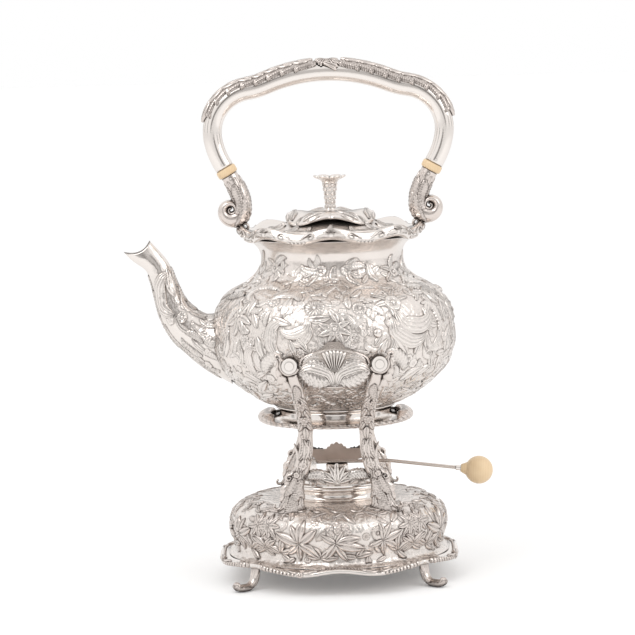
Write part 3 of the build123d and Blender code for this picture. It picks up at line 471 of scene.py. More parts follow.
class Chasing:
    """Ornament for one piece: copies of the flat motifs, laid on skins and joined at the end."""

    def __init__(self, name):
        self.name = name
        self.motifs = []

    def lay(self, kind, skin, a, s, size, turn=0.0, flip=False, sink=0.0, lift=1.0):
        """Lays a motif at an angle and a length on a skin, size millimetres long."""
        flat, mesh = patterns[kind]
        x, y, z = flat.T * size
        if flip:
            y = -y
        over = x * math.cos(turn) - y * math.sin(turn)
        up = x * math.sin(turn) + y * math.cos(turn)
        here = np.array([float(a)]), np.array([float(s)])
        step = 1e-3
        stretch = np.linalg.norm(skin.place(here[0] + step, here[1]) - skin.place(*here)) / step
        angle = a + over / stretch
        high = np.maximum(z * lift, -0.7) - sink
        points = skin.place(angle, s + up) + skin.normal(angle, s + up) * high[:, None]
        faces = np.empty(len(mesh.loops), int)
        mesh.loops.foreach_get("vertex_index", faces)
        sizes = np.empty(len(mesh.polygons), int)
        mesh.polygons.foreach_get("loop_total", sizes)
        rings = np.split(faces, np.cumsum(sizes)[:-1])
        self.motifs.append((a % TURN, points, [ring[::-1] if flip else ring for ring in rings]))

    def piece(self, suffix="", low=0.0, high=TURN):
        """Joins what was laid between two angles into one piece."""
        points, faces, count = [], [], 0
        for a, spots, rings in self.motifs:
            if low <= a < high:
                faces += [(ring + count).tolist() for ring in rings]
                points.append(spots)
                count += len(spots)
        mesh = bpy.data.meshes.new(self.name + suffix)
        mesh.from_pydata(np.vstack(points) * MM, [], faces)
        mesh.validate()
        made = bpy.data.objects.new(self.name + suffix, mesh)
        bpy.context.collection.objects.link(made)
        mesh.shade_smooth()
        return made

    def fit(self, finish, body, count):
        """Fits the work as a few pieces, each with its share of the turn."""
        for n in range(count):
            made = self.piece(f"_{n + 1}", TURN * n / count, TURN * (n + 1) / count)
            fit(made, finish, body)


# On the belly the work is set out alike on the front and the back: sprays of flowers under the
# neck, two whorls with plumes under them, a rose with broad leaves, and flowers between them.
def height_on(profile, z):
    """The length along a profile, from its start, at which it first reaches a height."""
    line = profile.line
    return float(np.interp(z, np.maximum.accumulate(line[:, 1]), profile.run))


belly_work = Chasing("belly_chasing")
BELLY_RADIUS = 84
FRONT, BACK, FAR_SIDE = -math.pi / 2, math.pi / 2, 0.0
ROUND_KINDS = ("flower", "rose", "aster", "rosette", "shell", "bead", "posy")
laid = []


def put(kind, a, z, size, degrees=0.0, flip=False, room=0.45, **how):
    """Lays a motif on the belly and remembers how much room its middle takes."""
    turn = math.radians(degrees)
    belly_work.lay(kind, vessel, a, height_on(vessel_side, z), size, turn, flip, **how)
    middle = 0.0 if kind in ROUND_KINDS else 0.5 * size
    across, along = middle * math.cos(turn) / BELLY_RADIUS, middle * math.sin(turn)
    spot = vessel.place(a + across, height_on(vessel_side, z) + along)
    reach = size if middle == 0 else room * size
    laid.append((spot, reach))


def spray(a, z, size, leaf, *headings):
    """A flower with leaves round it, which head out at the angles given, in degrees."""
    for n, heading in enumerate(headings):
        odd = bool(n % 2)
        put("sprig_leaf" if odd else "acanthus", a, z, leaf * (1 - 0.1 * (n % 3)), heading, odd)
    put("rose" if size > 4.2 else "flower", a, z, size, headings[0], sink=-0.3)


for side in (FRONT, BACK):
    put("rosette", side - 0.16, 197, 7.6, lift=1.1)
    put("rosette", side + 0.23, 196, 5.8, lift=1.1)
    put("plume", side - 0.43, 189, 25, -102, True)
    put("plume", side - 0.20, 190, 21, -150)
    put("plume", side - 0.22, 187, 18, -118)
    put("plume", side - 0.30, 201, 22, 168, True)
    put("frond", side - 0.56, 206, 26, 170, True)
    put("frond", side - 0.06, 203, 18, 60)
    put("plume", side - 0.70, 170, 20, -98, True)
    put("plume", side - 0.64, 168, 16, -80, True)
    put("leaf", side - 0.36, 176, 12, -70)
    put("leaf", side - 0.30, 177, 12, -50)
    put("rose", side - 0.90, 190, 5.0, sink=-0.3)
    for heading in (-150, -100, -60, -20, 60, 120):
        put("leaf", side - 0.90, 190, 14, heading, heading > 0)
    put("flower", side - 0.51, 167, 4.4)
    put("aster", side - 0.58, 178, 3.6)
    put("plume", side + 0.43, 187, 22, -76)
    put("plume", side + 0.50, 189, 30, -38, True, lift=1.2)
    put("plume", side + 0.54, 193, 32, -16, True)
    put("leaf", side + 0.48, 182, 22, -58, lift=0.8)
    put("rose", side + 0.55, 198, 6.8, sink=-0.2)
    for heading in (15, 60, 100, 150, 190):
        put("sprig_leaf", side + 0.55, 198, 16, heading, heading > 90)
    put("bead", side + 0.36, 179, 3.4, lift=0.8)
    put("leaf", side + 0.33, 171, 9, 50)
    put("flower", side + 0.16, 177, 3.8)
    put("rose", side + 0.01, 183, 5.2, sink=-0.3)
    for heading in (-160, -115, -65, -20, 25, 160):
        put("leaf", side + 0.01, 183, 12, heading)
    for a, z, size in (
        (0.06, 204, 3.2), (0.12, 200, 3.0), (0.08, 194, 3.4), (0.14, 188, 3.0), (0.02, 192, 2.8),
    ):
        put("posy", side + a, z, size, 60 * z)
    put("leaf", side + 0.70, 163, 12, 58, lift=1.2)
    put("leaf", side + 0.82, 166, 12, 78, lift=1.2)
    put("posy", side + 0.61, 153, 4.2)
    put("posy", side + 0.79, 153, 4.2)
    put("flower", side + 0.65, 160, 3.4)
    put("flower", side - 0.74, 142, 4.4)
    spray(side - 0.15, 219.5, 4.4, 15, 170, 205, 140, 240)
    spray(side + 0.19, 219.5, 4.2, 15, 10, -25, 40, -60)
    spray(side + 0.03, 212, 4.6, 14, -70, -110, -30, 215, 90)
    spray(side - 0.89, 221, 4.2, 13, 40, 150, -20, 200, -70)
    spray(side + 0.94, 216, 4.6, 14, 20, 160, -30, 215, 80)
    for way in (1, -1):
        put("acanthus", side + way * 0.62, 152, 22, 90 + way * 40, way > 0)
        put("frond", side + way * 0.34, 150, 24, 90 - way * 62, way < 0)
        put("frond", side + way * 1.02, 176, 24, 90 + way * 20, way > 0)
        put("acanthus", side + way * 1.02, 203, 20, 90 - way * 110, way < 0)
        put("rosette", side + way * 1.10, 188, 5.6)
        put("flower", side + way * 1.16, 166, 5.0)
put("rose", FAR_SIDE, 186, 7.0)
put("shell", FAR_SIDE, 198, 9.0)
put("aster", FAR_SIDE, 166, 6.0)

rng = np.random.default_rng(7)


def scatter(work, skin, profile, taken, tries, low, high, large=1.0, close=0.58):
    """Fills the ground between larger motifs with small ones, wherever there is still room."""
    fillers = ("posy", "leaf", "sprig_leaf", "acanthus", "aster", "leaf", "frond", "plume", "leaf")
    for n in range(tries):
        a, z = rng.uniform(0, TURN), rng.uniform(low, high)
        kind = fillers[n % len(fillers)]
        small = kind in ROUND_KINDS
        shrunk = large if n < 0.4 * tries else 0.72 * large
        size = rng.uniform(3.6, 5.4) * shrunk if small else rng.uniform(11, 18) * shrunk
        s = height_on(profile, z)
        spot = skin.place(np.array(a), s)
        reach = size if small else 0.34 * size
        if all(np.linalg.norm(spot - other) > close * (reach + room) for other, room in taken):
            work.lay(kind, skin, a, s, size, rng.uniform(0, TURN), bool(n % 2), lift=0.8)
            taken.append((spot, reach))


scatter(belly_work, vessel, vessel_side, laid, 5200, 126, 221)
belly_work.fit(chased, "kettle", 6)

# ---------------------------------------------------------------- spout
# A hollow silver spout is soldered to the belly by a broad root, turns up and ends in a beaked
# lip. A collar of leaves clasps its root, and leaves climb it to the lip.
class Swept(Skin):
    """A form swept along stations of x, y, z, half width and half depth. A sixth value is the
    heading above -X of a section that isn't square to the line."""

    def __init__(self, *stations, side=(0, 1, 0)):
        self.line = Bend(*stations)
        self.length = self.line.length
        self.side = np.array(side, float)

    def axes(self, here, s):
        if here.shape[-1] == 6:
            heading = np.radians(here[..., 5])
            up = np.stack([-np.sin(heading), 0 * heading, -np.cos(heading)], -1)
            return self.side + 0 * up, up
        ahead = self.line.at(np.minimum(s + 0.3, self.length))[..., :3]
        way = ahead - self.line.at(np.maximum(s - 0.3, 0))[..., :3]
        way = way / np.linalg.norm(way, axis=-1, keepdims=True)
        side = self.side - way * (way @ self.side)[..., None]
        side = side / np.linalg.norm(side, axis=-1, keepdims=True)
        return side, np.cross(way, side)

    def place(self, a, s):
        here = self.line.at(s)
        side, up = self.axes(here, s)
        wide, deep = np.cos(a) * here[..., 3], np.sin(a) * here[..., 4]
        return here[..., :3] + (side * wide[..., None] + up * deep[..., None])


def swept(name, skin, across=24, along=60, closed=True, lobes=0, flute=0.0):
    """A piece that follows a swept form, with rounded ends. Lobes cut it like a leaf's edge."""

    def surface(u, v):
        s = skin.length * np.clip((v - 0.02) / 0.96, 0, 1)
        points = skin.place(TURN * u, s)
        middle = skin.line.at(s)[:, :3]
        shrink = np.clip(np.minimum(v, 1 - v) / 0.02, 0, 1) ** 0.5
        if lobes:
            edge = np.abs(np.sin(TURN * u))
            ridge = np.abs(np.sin(math.pi * lobes * (v - 0.05 * edge))) ** 0.6
            shrink = shrink * (1 - flute * (1 - ridge) * (0.25 + 0.75 * edge))
        return middle + (points - middle) * shrink[:, None]

    return wrapped(name, across, along, surface, closed)


spout_outer = Swept(
    (-74, 0, 162.5, 22.0, 25.5, -4), (-89, 0, 167.5, 18.4, 19.0, 4),
    (-97.5, 0, 173.5, 15.1, 15.6, 20), (-106.5, 0, 182.5, 12.6, 13.0, 42),
    (-112.5, 0, 192.5, 10.3, 10.6, 62),
    (-116.2, 0, 203.5, 8.8, 9.1, 75), (-119.6, 0, 214.5, 8.1, 8.4, 74),
    (-122.8, 0, 221.8, 7.2, 8.5, 68), (-135.3, 0, 232.0, 5.8, 11.8, 69.5),
)
spout_wall = 1.3
ROOT_SINK = 0.5
LIP_REACH, BEAK_RISE, BACK_RISE, BACK_SWING = 11, 4.2, 4.0, 2.6


def clear_of_vessel(points, gap):
    """Moves points that lie inside the vessel out to its side, less a gap."""
    side_radius, side_z = vessel_side.line.T
    reach = np.interp(points[:, 2], np.maximum.accumulate(side_z), side_radius)
    radius = np.hypot(points[:, 0], points[:, 1])
    grow = np.maximum(1, (reach - gap) / np.maximum(radius, 1))
    return points * np.column_stack([grow, grow, np.ones_like(grow)])


def spout_surface(u, v):
    """The outside, the lip and the inside. The beak's tip and the back of the mouth stand up."""
    s = spout_outer.length * np.interp(v, [0, 0.5, 1], [0, 1, 0])
    inside = np.interp(v, [0.47, 0.53], [0, 1])
    points = spout_outer.place(TURN * u, s)
    middle = spout_outer.line.at(s)[:, :3]
    share = 1 - inside * spout_wall / np.linalg.norm(points - middle, axis=1)
    points = clear_of_vessel(middle + (points - middle) * share[:, None], ROOT_SINK)
    near_lip = np.clip((s - spout_outer.length + LIP_REACH) / LIP_REACH, 0, 1) ** 1.5
    beak, back = np.maximum(np.sin(TURN * u), 0) ** 2, np.maximum(-np.sin(TURN * u), 0) ** 2
    points[:, 2] += near_lip * (BEAK_RISE * beak + BACK_RISE * back)
    points[:, 0] -= near_lip * BACK_SWING * back
    return points


fit(wrapped("spout_silver", 72, 150, spout_surface, closed=False), chased, "kettle", "spout")

spout_work = Chasing("spout_chasing")
lay = spout_work.lay
for n in range(12):
    a = math.radians(30 * n - 90)
    lay("acanthus", spout_outer, a, 18, 15, math.radians(98), bool(n % 2), sink=0.2)
    lay("leaf", spout_outer, a + 0.26, 16, 11, math.radians(84), sink=0.2)
    if n % 2:
        lay("sprig_leaf", spout_outer, a, 30, 15, math.radians(92), sink=0.2)
        lay("posy", spout_outer, a + 0.26, 29, 2.6, sink=0.1)
    lay("acanthus", spout_outer, a + 0.13, 18.5, 12, math.radians(-84), bool(n % 2), sink=0.1)
    lay("posy", spout_outer, a + 0.26, 14, 3.0, sink=-0.2)
for a, flip in ((math.pi, False), (0.0, True)):
    way = -1 if flip else 1
    heading = math.radians(-150 * way)
    lay("scallop", spout_outer, a + way * 0.1, 29, 15, heading, flip, sink=0.1, lift=0.9)
    lay("rose", spout_outer, a + way * 0.25, 41, 4.4, sink=-0.4)
    lay("posy", spout_outer, a - way * 0.45, 45, 3.4, sink=-0.2)
    lay("posy", spout_outer, a + way * 0.75, 47, 3.0, sink=-0.2)
    lay("acanthus", spout_outer, a + way * 0.6, 50, 15, math.radians(80), flip, sink=0.2)
    lay("acanthus", spout_outer, a - way * 0.5, 50, 14, math.radians(104), not flip, sink=0.2)
    lay("plume", spout_outer, a - way * 0.1, 46, 30, math.radians(84), flip, sink=0.1, lift=1.3)
    lay("leaf", spout_outer, a + way * 0.5, 58, 20, math.radians(84), flip, sink=0.1)
    lay("frond", spout_outer, a + way * 1.1, 38, 20, math.radians(80), flip, sink=0.1)
for way, s, size in (
    (1, 30, 20), (1, 46, 20), (1, 60, 18), (-1, 33, 18), (-1, 48, 18), (-1, 62, 16),
):
    lay("acanthus", spout_outer, way * math.pi / 2, s, size, math.radians(90), sink=0.2)
fit(spout_work.piece(), chased, "kettle")


# ---------------------------------------------------------------- mouth border
# A cast border is soldered round the mouth. Its edge runs in eight arches, each with a plain
# panel, and a bead and two leaf scrolls fill the dip between each two.
ARCHES = 8


def border_lobe(a, radius, z):
    share = np.clip((radius - 53) / 8, 0, 1)
    swing = np.cos(ARCHES * a)
    return radius + (1.5 * swing - 0.8) * share, z + 2.0 * swing * share


border_profile = Bend(
    (46.5, 244), (53, 244), (58, 244.9), (61.2, 247.2), (62.7, 247.6), (63.7, 246.7), (64.3, 244.9),
    (65.2, 243.6), (64.6, 241.8), (61.4, 239.5), (59, 239.9), (46.5, 240.5), (46.5, 244.0),
)
border = turned("mouth_border_cast", border_profile, 288, 64, border_lobe)
fit(border, polished, "kettle", "mouth_border")

border_edge = Bend((62.4, 240.4), (64.8, 242.2), (65.2, 244.2), (63.4, 247.3), (60.6, 247.0))
border_face = Turned(border_edge, border_lobe)
border_work = Chasing("border_chasing")
BOTH_WAYS = ((1, False), (-1, True))
for n in range(ARCHES):
    dip, arch = TURN * (n + 0.5) / ARCHES, TURN * n / ARCHES
    for k in (-2, -1, 0, 1, 2):
        border_work.lay("bead", border_face, dip + 0.045 * k, 1.8, 1.35, sink=-0.1)
    border_work.lay("shell", border_face, arch, 5.0, 4.2, 0.0, sink=0.1)
    for way, flip in BOTH_WAYS:
        turn = 0.12 if way == 1 else math.pi - 0.12
        border_work.lay("scroll", border_face, dip + way * 0.05, 4.0, 10.5, turn, flip, sink=0.1)
        border_work.lay("acanthus", border_face, arch + way * 0.02, 2.9, 8.5, turn, flip, sink=0.1)
        border_work.lay("leaf", border_face, dip + way * 0.04, 1.6, 5.0, turn, flip, sink=0.1)
fit(border_work.piece(), chased, "kettle")

# ---------------------------------------------------------------- kettle foot
# The foot is a plain polished drum, soldered under the belly, on a flat flange. The flange's
# edge is cut into slanting gadroons, and turns up on the spout's side and on the other.
foot_drum = Bend(
    (42.2, 122), (42.4, 121.0), (41.6, 120.2), (39.6, 119.7), (39.0, 118.4), (39.4, 115.6),
    (40.8, 113.4), (44, 112.6), (50.6, 112.3), (50.6, 111.2), (50.4, 110.6), (44, 110.7),
    (38.4, 111.8), (37.6, 114), (37.5, 119.0),
    (38, 122), (42.2, 122),
)
foot_roll = Bend(
    (49.6, 110.5), (52.2, 110.5), (54.2, 111.6), (54.7, 113.6), (53.6, 115.8), (51.2, 117.2),
    (48.2, 117.4), (45.8, 116.4), (46.4, 115.4), (48.6, 116.0), (51.0, 115.2), (52.2, 113.4),
    (51.6, 112.0), (49.6, 111.6),
    (49.6, 110.5),
)


FOOT_Z, LOW_EDGE = 110.5, 53.4
GADROONS = 54


def gadroon(a, radius, z):
    """Slanting ribs round the edge, which lies low except where it turns up at two sides."""
    rib = np.abs(np.sin(GADROONS / 2 * a + 0.35 * (z - 112))) ** 0.8
    up = np.clip(2.6 * np.abs(np.cos(a)) ** 6 - 0.75, 0, 1)
    low_z = FOOT_Z + np.clip((z - FOOT_Z) * 0.55, 0, 2.8)
    low_radius = np.where(z > 113.6, LOW_EDGE + 0.25 * (radius - LOW_EDGE), radius)
    radius = low_radius + (radius - low_radius) * up
    share = np.clip((radius - 47) / 4, 0, 1)
    return radius + (1.5 * rib - 1.3) * share, low_z + (z - low_z) * up


fit(turned("foot_drum", foot_drum, 128, 90), polished, "kettle", "kettle_foot")
fit(turned("foot_gadroons", foot_roll, 432, 42, gadroon), toned, "kettle", "foot_border")

# ---------------------------------------------------------------- lid
# The lid is raised from a sheet of silver and hinged at the back of the border. Its dome is
# chased with leaves that radiate from a tier, fluted like pie crust, which is soldered on it.
lid_profile = Bend(
    (0.01, 255.5), (17, 255.4), (27.3, 250), (39.8, 244.9), (40.5, 244.3), (44.6, 244.3),
    (44.6, 240.3), (45.8, 240.3), (45.8, 244.3), (48, 244.3), (48, 245.7), (41.5, 245.9),
    (28.5, 251.2), (20, 255), (10, 256.6), (0.01, 256.7),
)
fit(turned("lid_dome", lid_profile, 144, 110), matted, "lid", "lid_cover")
lid_skin = Turned(Bend(
    (48, 245.8), (41.5, 245.9), (35, 248.2), (28.5, 251.2), (20, 255), (10, 256.6), (5, 256.7),
))
lid_work = Chasing("lid_chasing")
for n in range(8):
    a = TURN * n / 8
    lid_work.lay("acanthus", lid_skin, a, 3.0, 15, math.radians(86), bool(n % 2), sink=0.1)
    lid_work.lay("leaf", lid_skin, a + TURN / 16, 4.0, 11, math.radians(92), sink=0.1)
    lid_work.lay("flower", lid_skin, a + TURN / 16, 3.6, 3.4, sink=-0.05)
    lid_work.lay("leaf", lid_skin, a, 27.5, 9, math.radians(90), sink=0.1)
fit(lid_work.piece(), chased, "lid")


def crimp(a, radius, z):
    """The tier's rim rises in four arches, with paired petals between them."""
    share = np.clip((radius - 13) / 16, 0, 1) ** 1.3
    arch = np.cos(4 * a)
    petal = np.abs(np.cos(4 * a + math.pi / 2)) ** 0.5
    out, up = 1.7 - 1.5 * arch + 1.2 * petal, 1.0 + 2.6 * arch + 0.8 * petal
    return radius + out * share, z + up * share


frill_profile = Bend(
    (13, 257.3), (20, 256.9), (25.5, 255.3), (29.2, 252.4), (30.6, 250.6), (30.2, 249.6),
    (28.8, 249.8), (26.0, 252.2), (20, 254.8), (13, 255.8), (13, 257.3),
)
fit(turned("lid_pie_crust", frill_profile, 240, 50, crimp), chased, "lid", "lid_frill")
frill_side = Bend((30.4, 250.2), (29.4, 252.2), (25.5, 255.3), (20, 256.9), (13, 257.3))
frill_skin = Turned(frill_side, crimp)
frill_work = Chasing("frill_chasing")
for n in range(4):
    arch, dip = TURN * n / 4, TURN * (n + 0.5) / 4
    for way, flip in BOTH_WAYS:
        turn = math.radians(180 if way == 1 else 0)
        for kind, aside, s, size, lean, flipped in (
            ("sprig_leaf", 0.62, 3.2, 15, 0.35, not flip), ("leaf", 0.5, 1.4, 9, 0.2, flip),
        ):
            a, heading = arch + way * aside, turn - way * lean
            frill_work.lay(kind, frill_skin, a, s, size, heading, flipped, sink=0.1, lift=1.3)
    frill_work.lay("flower", frill_skin, dip, 4.5, 3.4, sink=0.0)
    frill_work.lay("leaf", frill_skin, dip, 8.0, 8, math.radians(90), sink=0.1)
fit(frill_work.piece(), chased, "lid")

# ---------------------------------------------------------------- finial
# A flower cast in silver stands on a beaded stem and opens upwards in six petals. Its screw
# goes down through the lid to a nut.
PETALS = 6


def petals(a, radius, z):
    open_share = np.clip((z - 276.5) / 4, 0, 1)
    ridge = np.abs(np.cos(PETALS / 2 * a)) ** 0.6
    return radius * (1 - 0.24 * open_share * (1 - ridge)), z - 0.9 * open_share * (1 - ridge)


finial_profile = Bend(
    (0.01, 256.7), (4.5, 256.7), (4.6, 258), (3.7, 259.2), (3.5, 262), (3.8, 267), (4.3, 272),
    (4.9, 276), (6.0, 278.4), (8.6, 280.0), (11.3, 281.3), (11.6, 282.2), (10.8, 282.6),
    (8.2, 281.6), (5.0, 280.2), (3.2, 280.6), (1.6, 281.6), (0.01, 281.9),
)
fit(turned("finial_flower", finial_profile, 108, 110, petals), chased, "lid", "finial")
finial_skin = Turned(Bend(
    (3.7, 259.2), (3.5, 262), (3.8, 267), (4.3, 272), (4.9, 276), (6.0, 278.4), (8.6, 280.0),
))
finial_work = Chasing("finial_chasing")
for n in range(8):
    for row in range(6):
        spot, s, size = TURN * (n + 0.5 * (row % 2)) / 8, 1.5 + 3.0 * row, 1.15 + 0.06 * row
        finial_work.lay("bead", finial_skin, spot, s, size, sink=0.1, lift=0.8)
fit(finial_work.piece(), chased, "lid")


# ---------------------------------------------------------------- handle
# A tube arched over the kettle, with a strip of cast leaves along its top and a shell in the
# middle. Ivory washers part it from its brackets, so that the kettle's heat stays out of it.
def arcs(start, heading, *turns):
    """Points on arcs that follow one another: each turn is a radius and degrees to the left."""
    places = [np.array(start, float)]
    for radius, turn in turns:
        steps = max(2, int(abs(turn) / 3))
        for _ in range(steps):
            half = turn / steps / 2
            chord = 2 * radius * math.sin(math.radians(abs(half)))
            heading += half
            way = np.array([math.cos(math.radians(heading)), math.sin(math.radians(heading))])
            places.append(places[-1] + chord * way)
            heading += half
    return np.array(places), heading


HANDLE_TOP = 354.7
right_half, end_heading = arcs((0, HANDLE_TOP), 0, (113, -22), (61, 13.5), (29.2, -91), (52, -20))
end_way = np.array([math.cos(math.radians(end_heading)), math.sin(math.radians(end_heading))])
handle_end = right_half[-1] + 3 * end_way
right_half = np.vstack([right_half, handle_end])
whole = np.vstack([right_half[:0:-1] * [-1, 1], right_half])
tube_radius = 6.7


def with_sizes(path, wide, deep, y=0.0):
    """Stations of a swept form, from points in the XZ plane and its half sizes."""
    count = len(path)
    return np.column_stack([
        path[:, 0], np.broadcast_to(y, count), path[:, 1], np.broadcast_to(wide, count),
        np.broadcast_to(deep, count),
    ])


tube = Swept(*with_sizes(whole, tube_radius, tube_radius))
fit(swept("handle_tube", tube, 48, 220), polished, "kettle", "handle_bail")

half_run = tube.length / 2
CREST_REACH, STRIP_RISE, STRIP_STEPS = 90.0, 4.9, 90
strip_s = np.linspace(half_run - CREST_REACH, half_run + CREST_REACH, STRIP_STEPS)
strip_middle = tube.line.at(strip_s)[:, :3]
strip_up = tube.axes(tube.line.at(strip_s), strip_s)[1]
share = 1 - np.abs(np.linspace(-1, 1, STRIP_STEPS)) ** 6
strip = Swept(*np.column_stack([
    strip_middle + strip_up * STRIP_RISE, 3.0 * share + 0.4, 2.9 * share + 0.3,
]))
fit(swept("handle_strip", strip, 20, 180), toned, "kettle", "handle_crest")

crest_work = Chasing("handle_leaves")
TOP = math.pi / 2
for way, flip in BOTH_WAYS:
    turn = math.pi / 2 * way
    for n in range(8):
        s = half_run + way * (7 + 9.8 * n)
        wide = 1 - 0.03 * max(0, n - 4)
        for side_way in (1, -1):
            out = side_way * way
            crest_work.lay(
                "acanthus", tube, TOP + side_way * 0.72 * wide, s, 15.5 * wide, turn - out * 0.12,
                out < 0, sink=-0.9 + 0.08 * n, lift=1.25,
            )
            crest_work.lay(
                "leaf", tube, TOP + side_way * 0.32, s + way * 5, 12.5, turn + out * 0.1,
                sink=-1.9 + 0.12 * n, lift=1.2,
            )
        crest_work.lay("leaf", tube, TOP, s + way * 2, 12, turn, sink=-2.4 + 0.1 * n)
for face in (0.35, -0.35):
    crest_work.lay("scallop", tube, TOP + face, half_run - 8.5, 17, 0.0, face < 0, sink=-1.6)
for turn in (0.0, math.pi):
    crest_work.lay("shell", tube, TOP, half_run, 8.0, turn, sink=-1.7, lift=0.8)
fit(crest_work.piece(), toned, "kettle")

# Each washer is turned from ivory, and shows fine rings.
ivory = Finish("ivory", Roughness=0.38, Coat_Weight=0.25)
spot = ivory.node("TexCoord", output=3)
grain = ivory.node(
    "TexWave", {"wave_profile": "SIN"}, {"Vector": spot, "Scale": 260.0, "Distortion": 2.0}
)
age = ivory.node("TexNoise", None, {"Vector": spot, "Scale": 120.0, "Detail": 5.0})
# Painted shade: the ivory darkens to brown within 2 mm of other surfaces, where the washers meet
# the silver.
hollow = ivory.node("AmbientOcclusion", {"samples": 6}, {"Distance": 2.0 * MM}, output=1)
tint = ivory.mix(age * 0.6 + grain * 0.25, (0.93, 0.74, 0.49), (0.74, 0.50, 0.27))
ivory.feed("Base Color", ivory.mix(hollow, (0.30, 0.17, 0.08), tint))
ivory.bump(grain * 0.03, strength=0.4)

WASHER_LONG = 6.0
washer_line = [handle_end + t * end_way for t in (0, 0.9, 2.6, 3.4, 5.1, WASHER_LONG)]
washer_radii = (5.9, 7.1, 7.3, 7.3, 7.1, 5.9)
washer = Swept(*with_sizes(np.array(washer_line), washer_radii, washer_radii))


def mirrored(piece, name, *flips):
    """A copy of a piece, turned over in X or Y, or in both."""
    copy = bpy.data.objects.new(name, piece.data.copy())
    copy.data.name = name
    bpy.context.collection.objects.link(copy)
    flip = np.array([-1 if axis in flips else 1 for axis in "xyz"])
    shape(copy, points_of(copy) / MM * flip)
    if len(flips) == 1:
        copy.data.flip_normals()
    return copy


right_washer = swept("washer_right", washer, 48, 24)
fit(right_washer, ivory, "kettle", "insulator_right", slot="ivory")
left_washer = mirrored(right_washer, "washer_left", "x")
fit(left_washer, ivory, "kettle", "insulator_left", slot="ivory")

# ---------------------------------------------------------------- handle brackets
# Under each washer a cast sheath of leaves runs down into a pair of volutes, which stand on the
# border and are soldered to it.
sheath_top = handle_end + WASHER_LONG * end_way
bend_start = sheath_top + 9 * end_way
curve = arcs(
    bend_start, end_heading, (30, 29.5), (14, 12), (7.0, 78), (6.2, 90), (5.1, 90), (4.0, 90),
    (3.0, 90), (2.1, 110), (1.3, 120),
)[0]
sheath_path = np.vstack([sheath_top, sheath_top + 4.5 * end_way, curve])
count = len(sheath_path)
along = np.linspace(0, 1, count)
sheath_wide = np.interp(along, [0, 0.2, 0.5, 1], [5.9, 6.2, 5.6, 3.6])
sheath_deep = np.interp(along, [0, 0.16, 0.3, 0.5, 1], [5.9, 5.9, 3.6, 1.9, 0.8])
sheath = Swept(*with_sizes(sheath_path, sheath_wide, sheath_deep))
ROLL_STEPS = 60
knuckle_roll = spiral((60.2, 248.2), 4.4, 0.9, 2.0, -1.6, ROLL_STEPS)
roll_wide, roll_deep = np.linspace(4.8, 3.6, ROLL_STEPS), np.linspace(1.3, 0.7, ROLL_STEPS)
knuckle = Swept(*with_sizes(knuckle_roll, roll_wide, roll_deep))
bracket_parts = [
    swept("bracket_sheath", sheath, 32, 170),
    swept("bracket_knuckle", knuckle, 20, 110),
]
bracket_work = Chasing("bracket_leaves")
for a in np.radians((0, 60, 120, 180, 240, 300)):
    bracket_work.lay("acanthus", sheath, a, 7.0, 17, math.radians(90), sink=0.2)
    bracket_work.lay("leaf", sheath, a + 0.5, 3.0, 10, math.radians(90), sink=0.3)
for a in (0.0, math.pi):
    bracket_work.lay("acanthus", sheath, a + 0.5, 18, 18, math.radians(84), sink=0.2)
    bracket_work.lay("acanthus", sheath, a - 0.5, 16, 16, math.radians(96), True, sink=0.2)
bracket_work.lay("acanthus", sheath, -math.pi / 2, 14, 20, math.radians(90), sink=0.2)
bracket_parts.append(bracket_work.piece())


def joined(name, pieces):
    """Several pieces made into one."""
    bpy.ops.object.select_all(action="DESELECT")
    for piece in pieces:
        piece.select_set(True)
    bpy.context.view_layer.objects.active = pieces[0]
    bpy.ops.object.join()
    pieces[0].name = pieces[0].data.name = name
    return pieces[0]


right_bracket = joined("bracket_right", bracket_parts)
fit(right_bracket, toned, "kettle", "handle_bracket_right")
fit(mirrored(right_bracket, "bracket_left", "x"), toned, "kettle", "handle_bracket_left")

# ---------------------------------------------------------------- legs of the stand
# Four cast legs, each a chain of flowers and leaves that spreads into a leafy foot below, and
# ends above in an open cup with a curled horn. A bolt up through the base holds each.
leg = Swept(
    (28.6, 86.0, 153.0, 3.4, 2.2), (27.2, 83.4, 147, 4.2, 2.7), (24.6, 76.4, 136, 4.6, 3.3),
    (22.2, 67.0, 124.5, 4.9, 3.3), (21.0, 59.2, 112, 4.9, 3.2), (20.9, 55.6, 101, 4.9, 3.0),
    (21.8, 54.4, 94, 5.2, 3.3), (23.8, 53.0, 85.5, 5.4, 3.2), (27.2, 52.3, 76, 5.2, 3.1),
    (29.2, 52.0, 69, 5.6, 3.5), (30.4, 51.8, 62.5, 7.4, 3.8), (31.6, 51.6, 56.0, 8.8, 4.2),
    (32.4, 51.5, 50.4, 9.0, 4.2), side=(1, 0, 0),
)
OUT = -math.pi / 2
PIN_X, PIN_Z, CUP_RADIUS, CUP_Y = 30.4, 159.5, 5.7, 85.7
CUP_STEPS, CURL_STEPS, KNOT_STEPS = 26, 14, 20
cup_turn = np.radians(np.linspace(200, 385, CUP_STEPS))
cup_path = np.vstack([
    np.column_stack([PIN_X + CUP_RADIUS * np.cos(cup_turn), PIN_Z + CUP_RADIUS * np.sin(cup_turn)]),
    (36.2, 163.4), (36.8, 165.0), spiral((38.5, 165.4), 1.7, 0.6, math.pi, -1.0, CURL_STEPS),
])
cup_deep = np.r_[np.full(CUP_STEPS, 1.9), 1.5, 1.3, np.linspace(1.1, 0.8, CURL_STEPS)]
cup_ring = Swept(*with_sizes(cup_path, 2.4, cup_deep, y=CUP_Y))


def spaced(line, count):
    """Evenly spaced points of a flat line, and their shares of its length."""
    return line.at(np.linspace(0, line.length, count))[:, :2], np.linspace(0, 1, count)


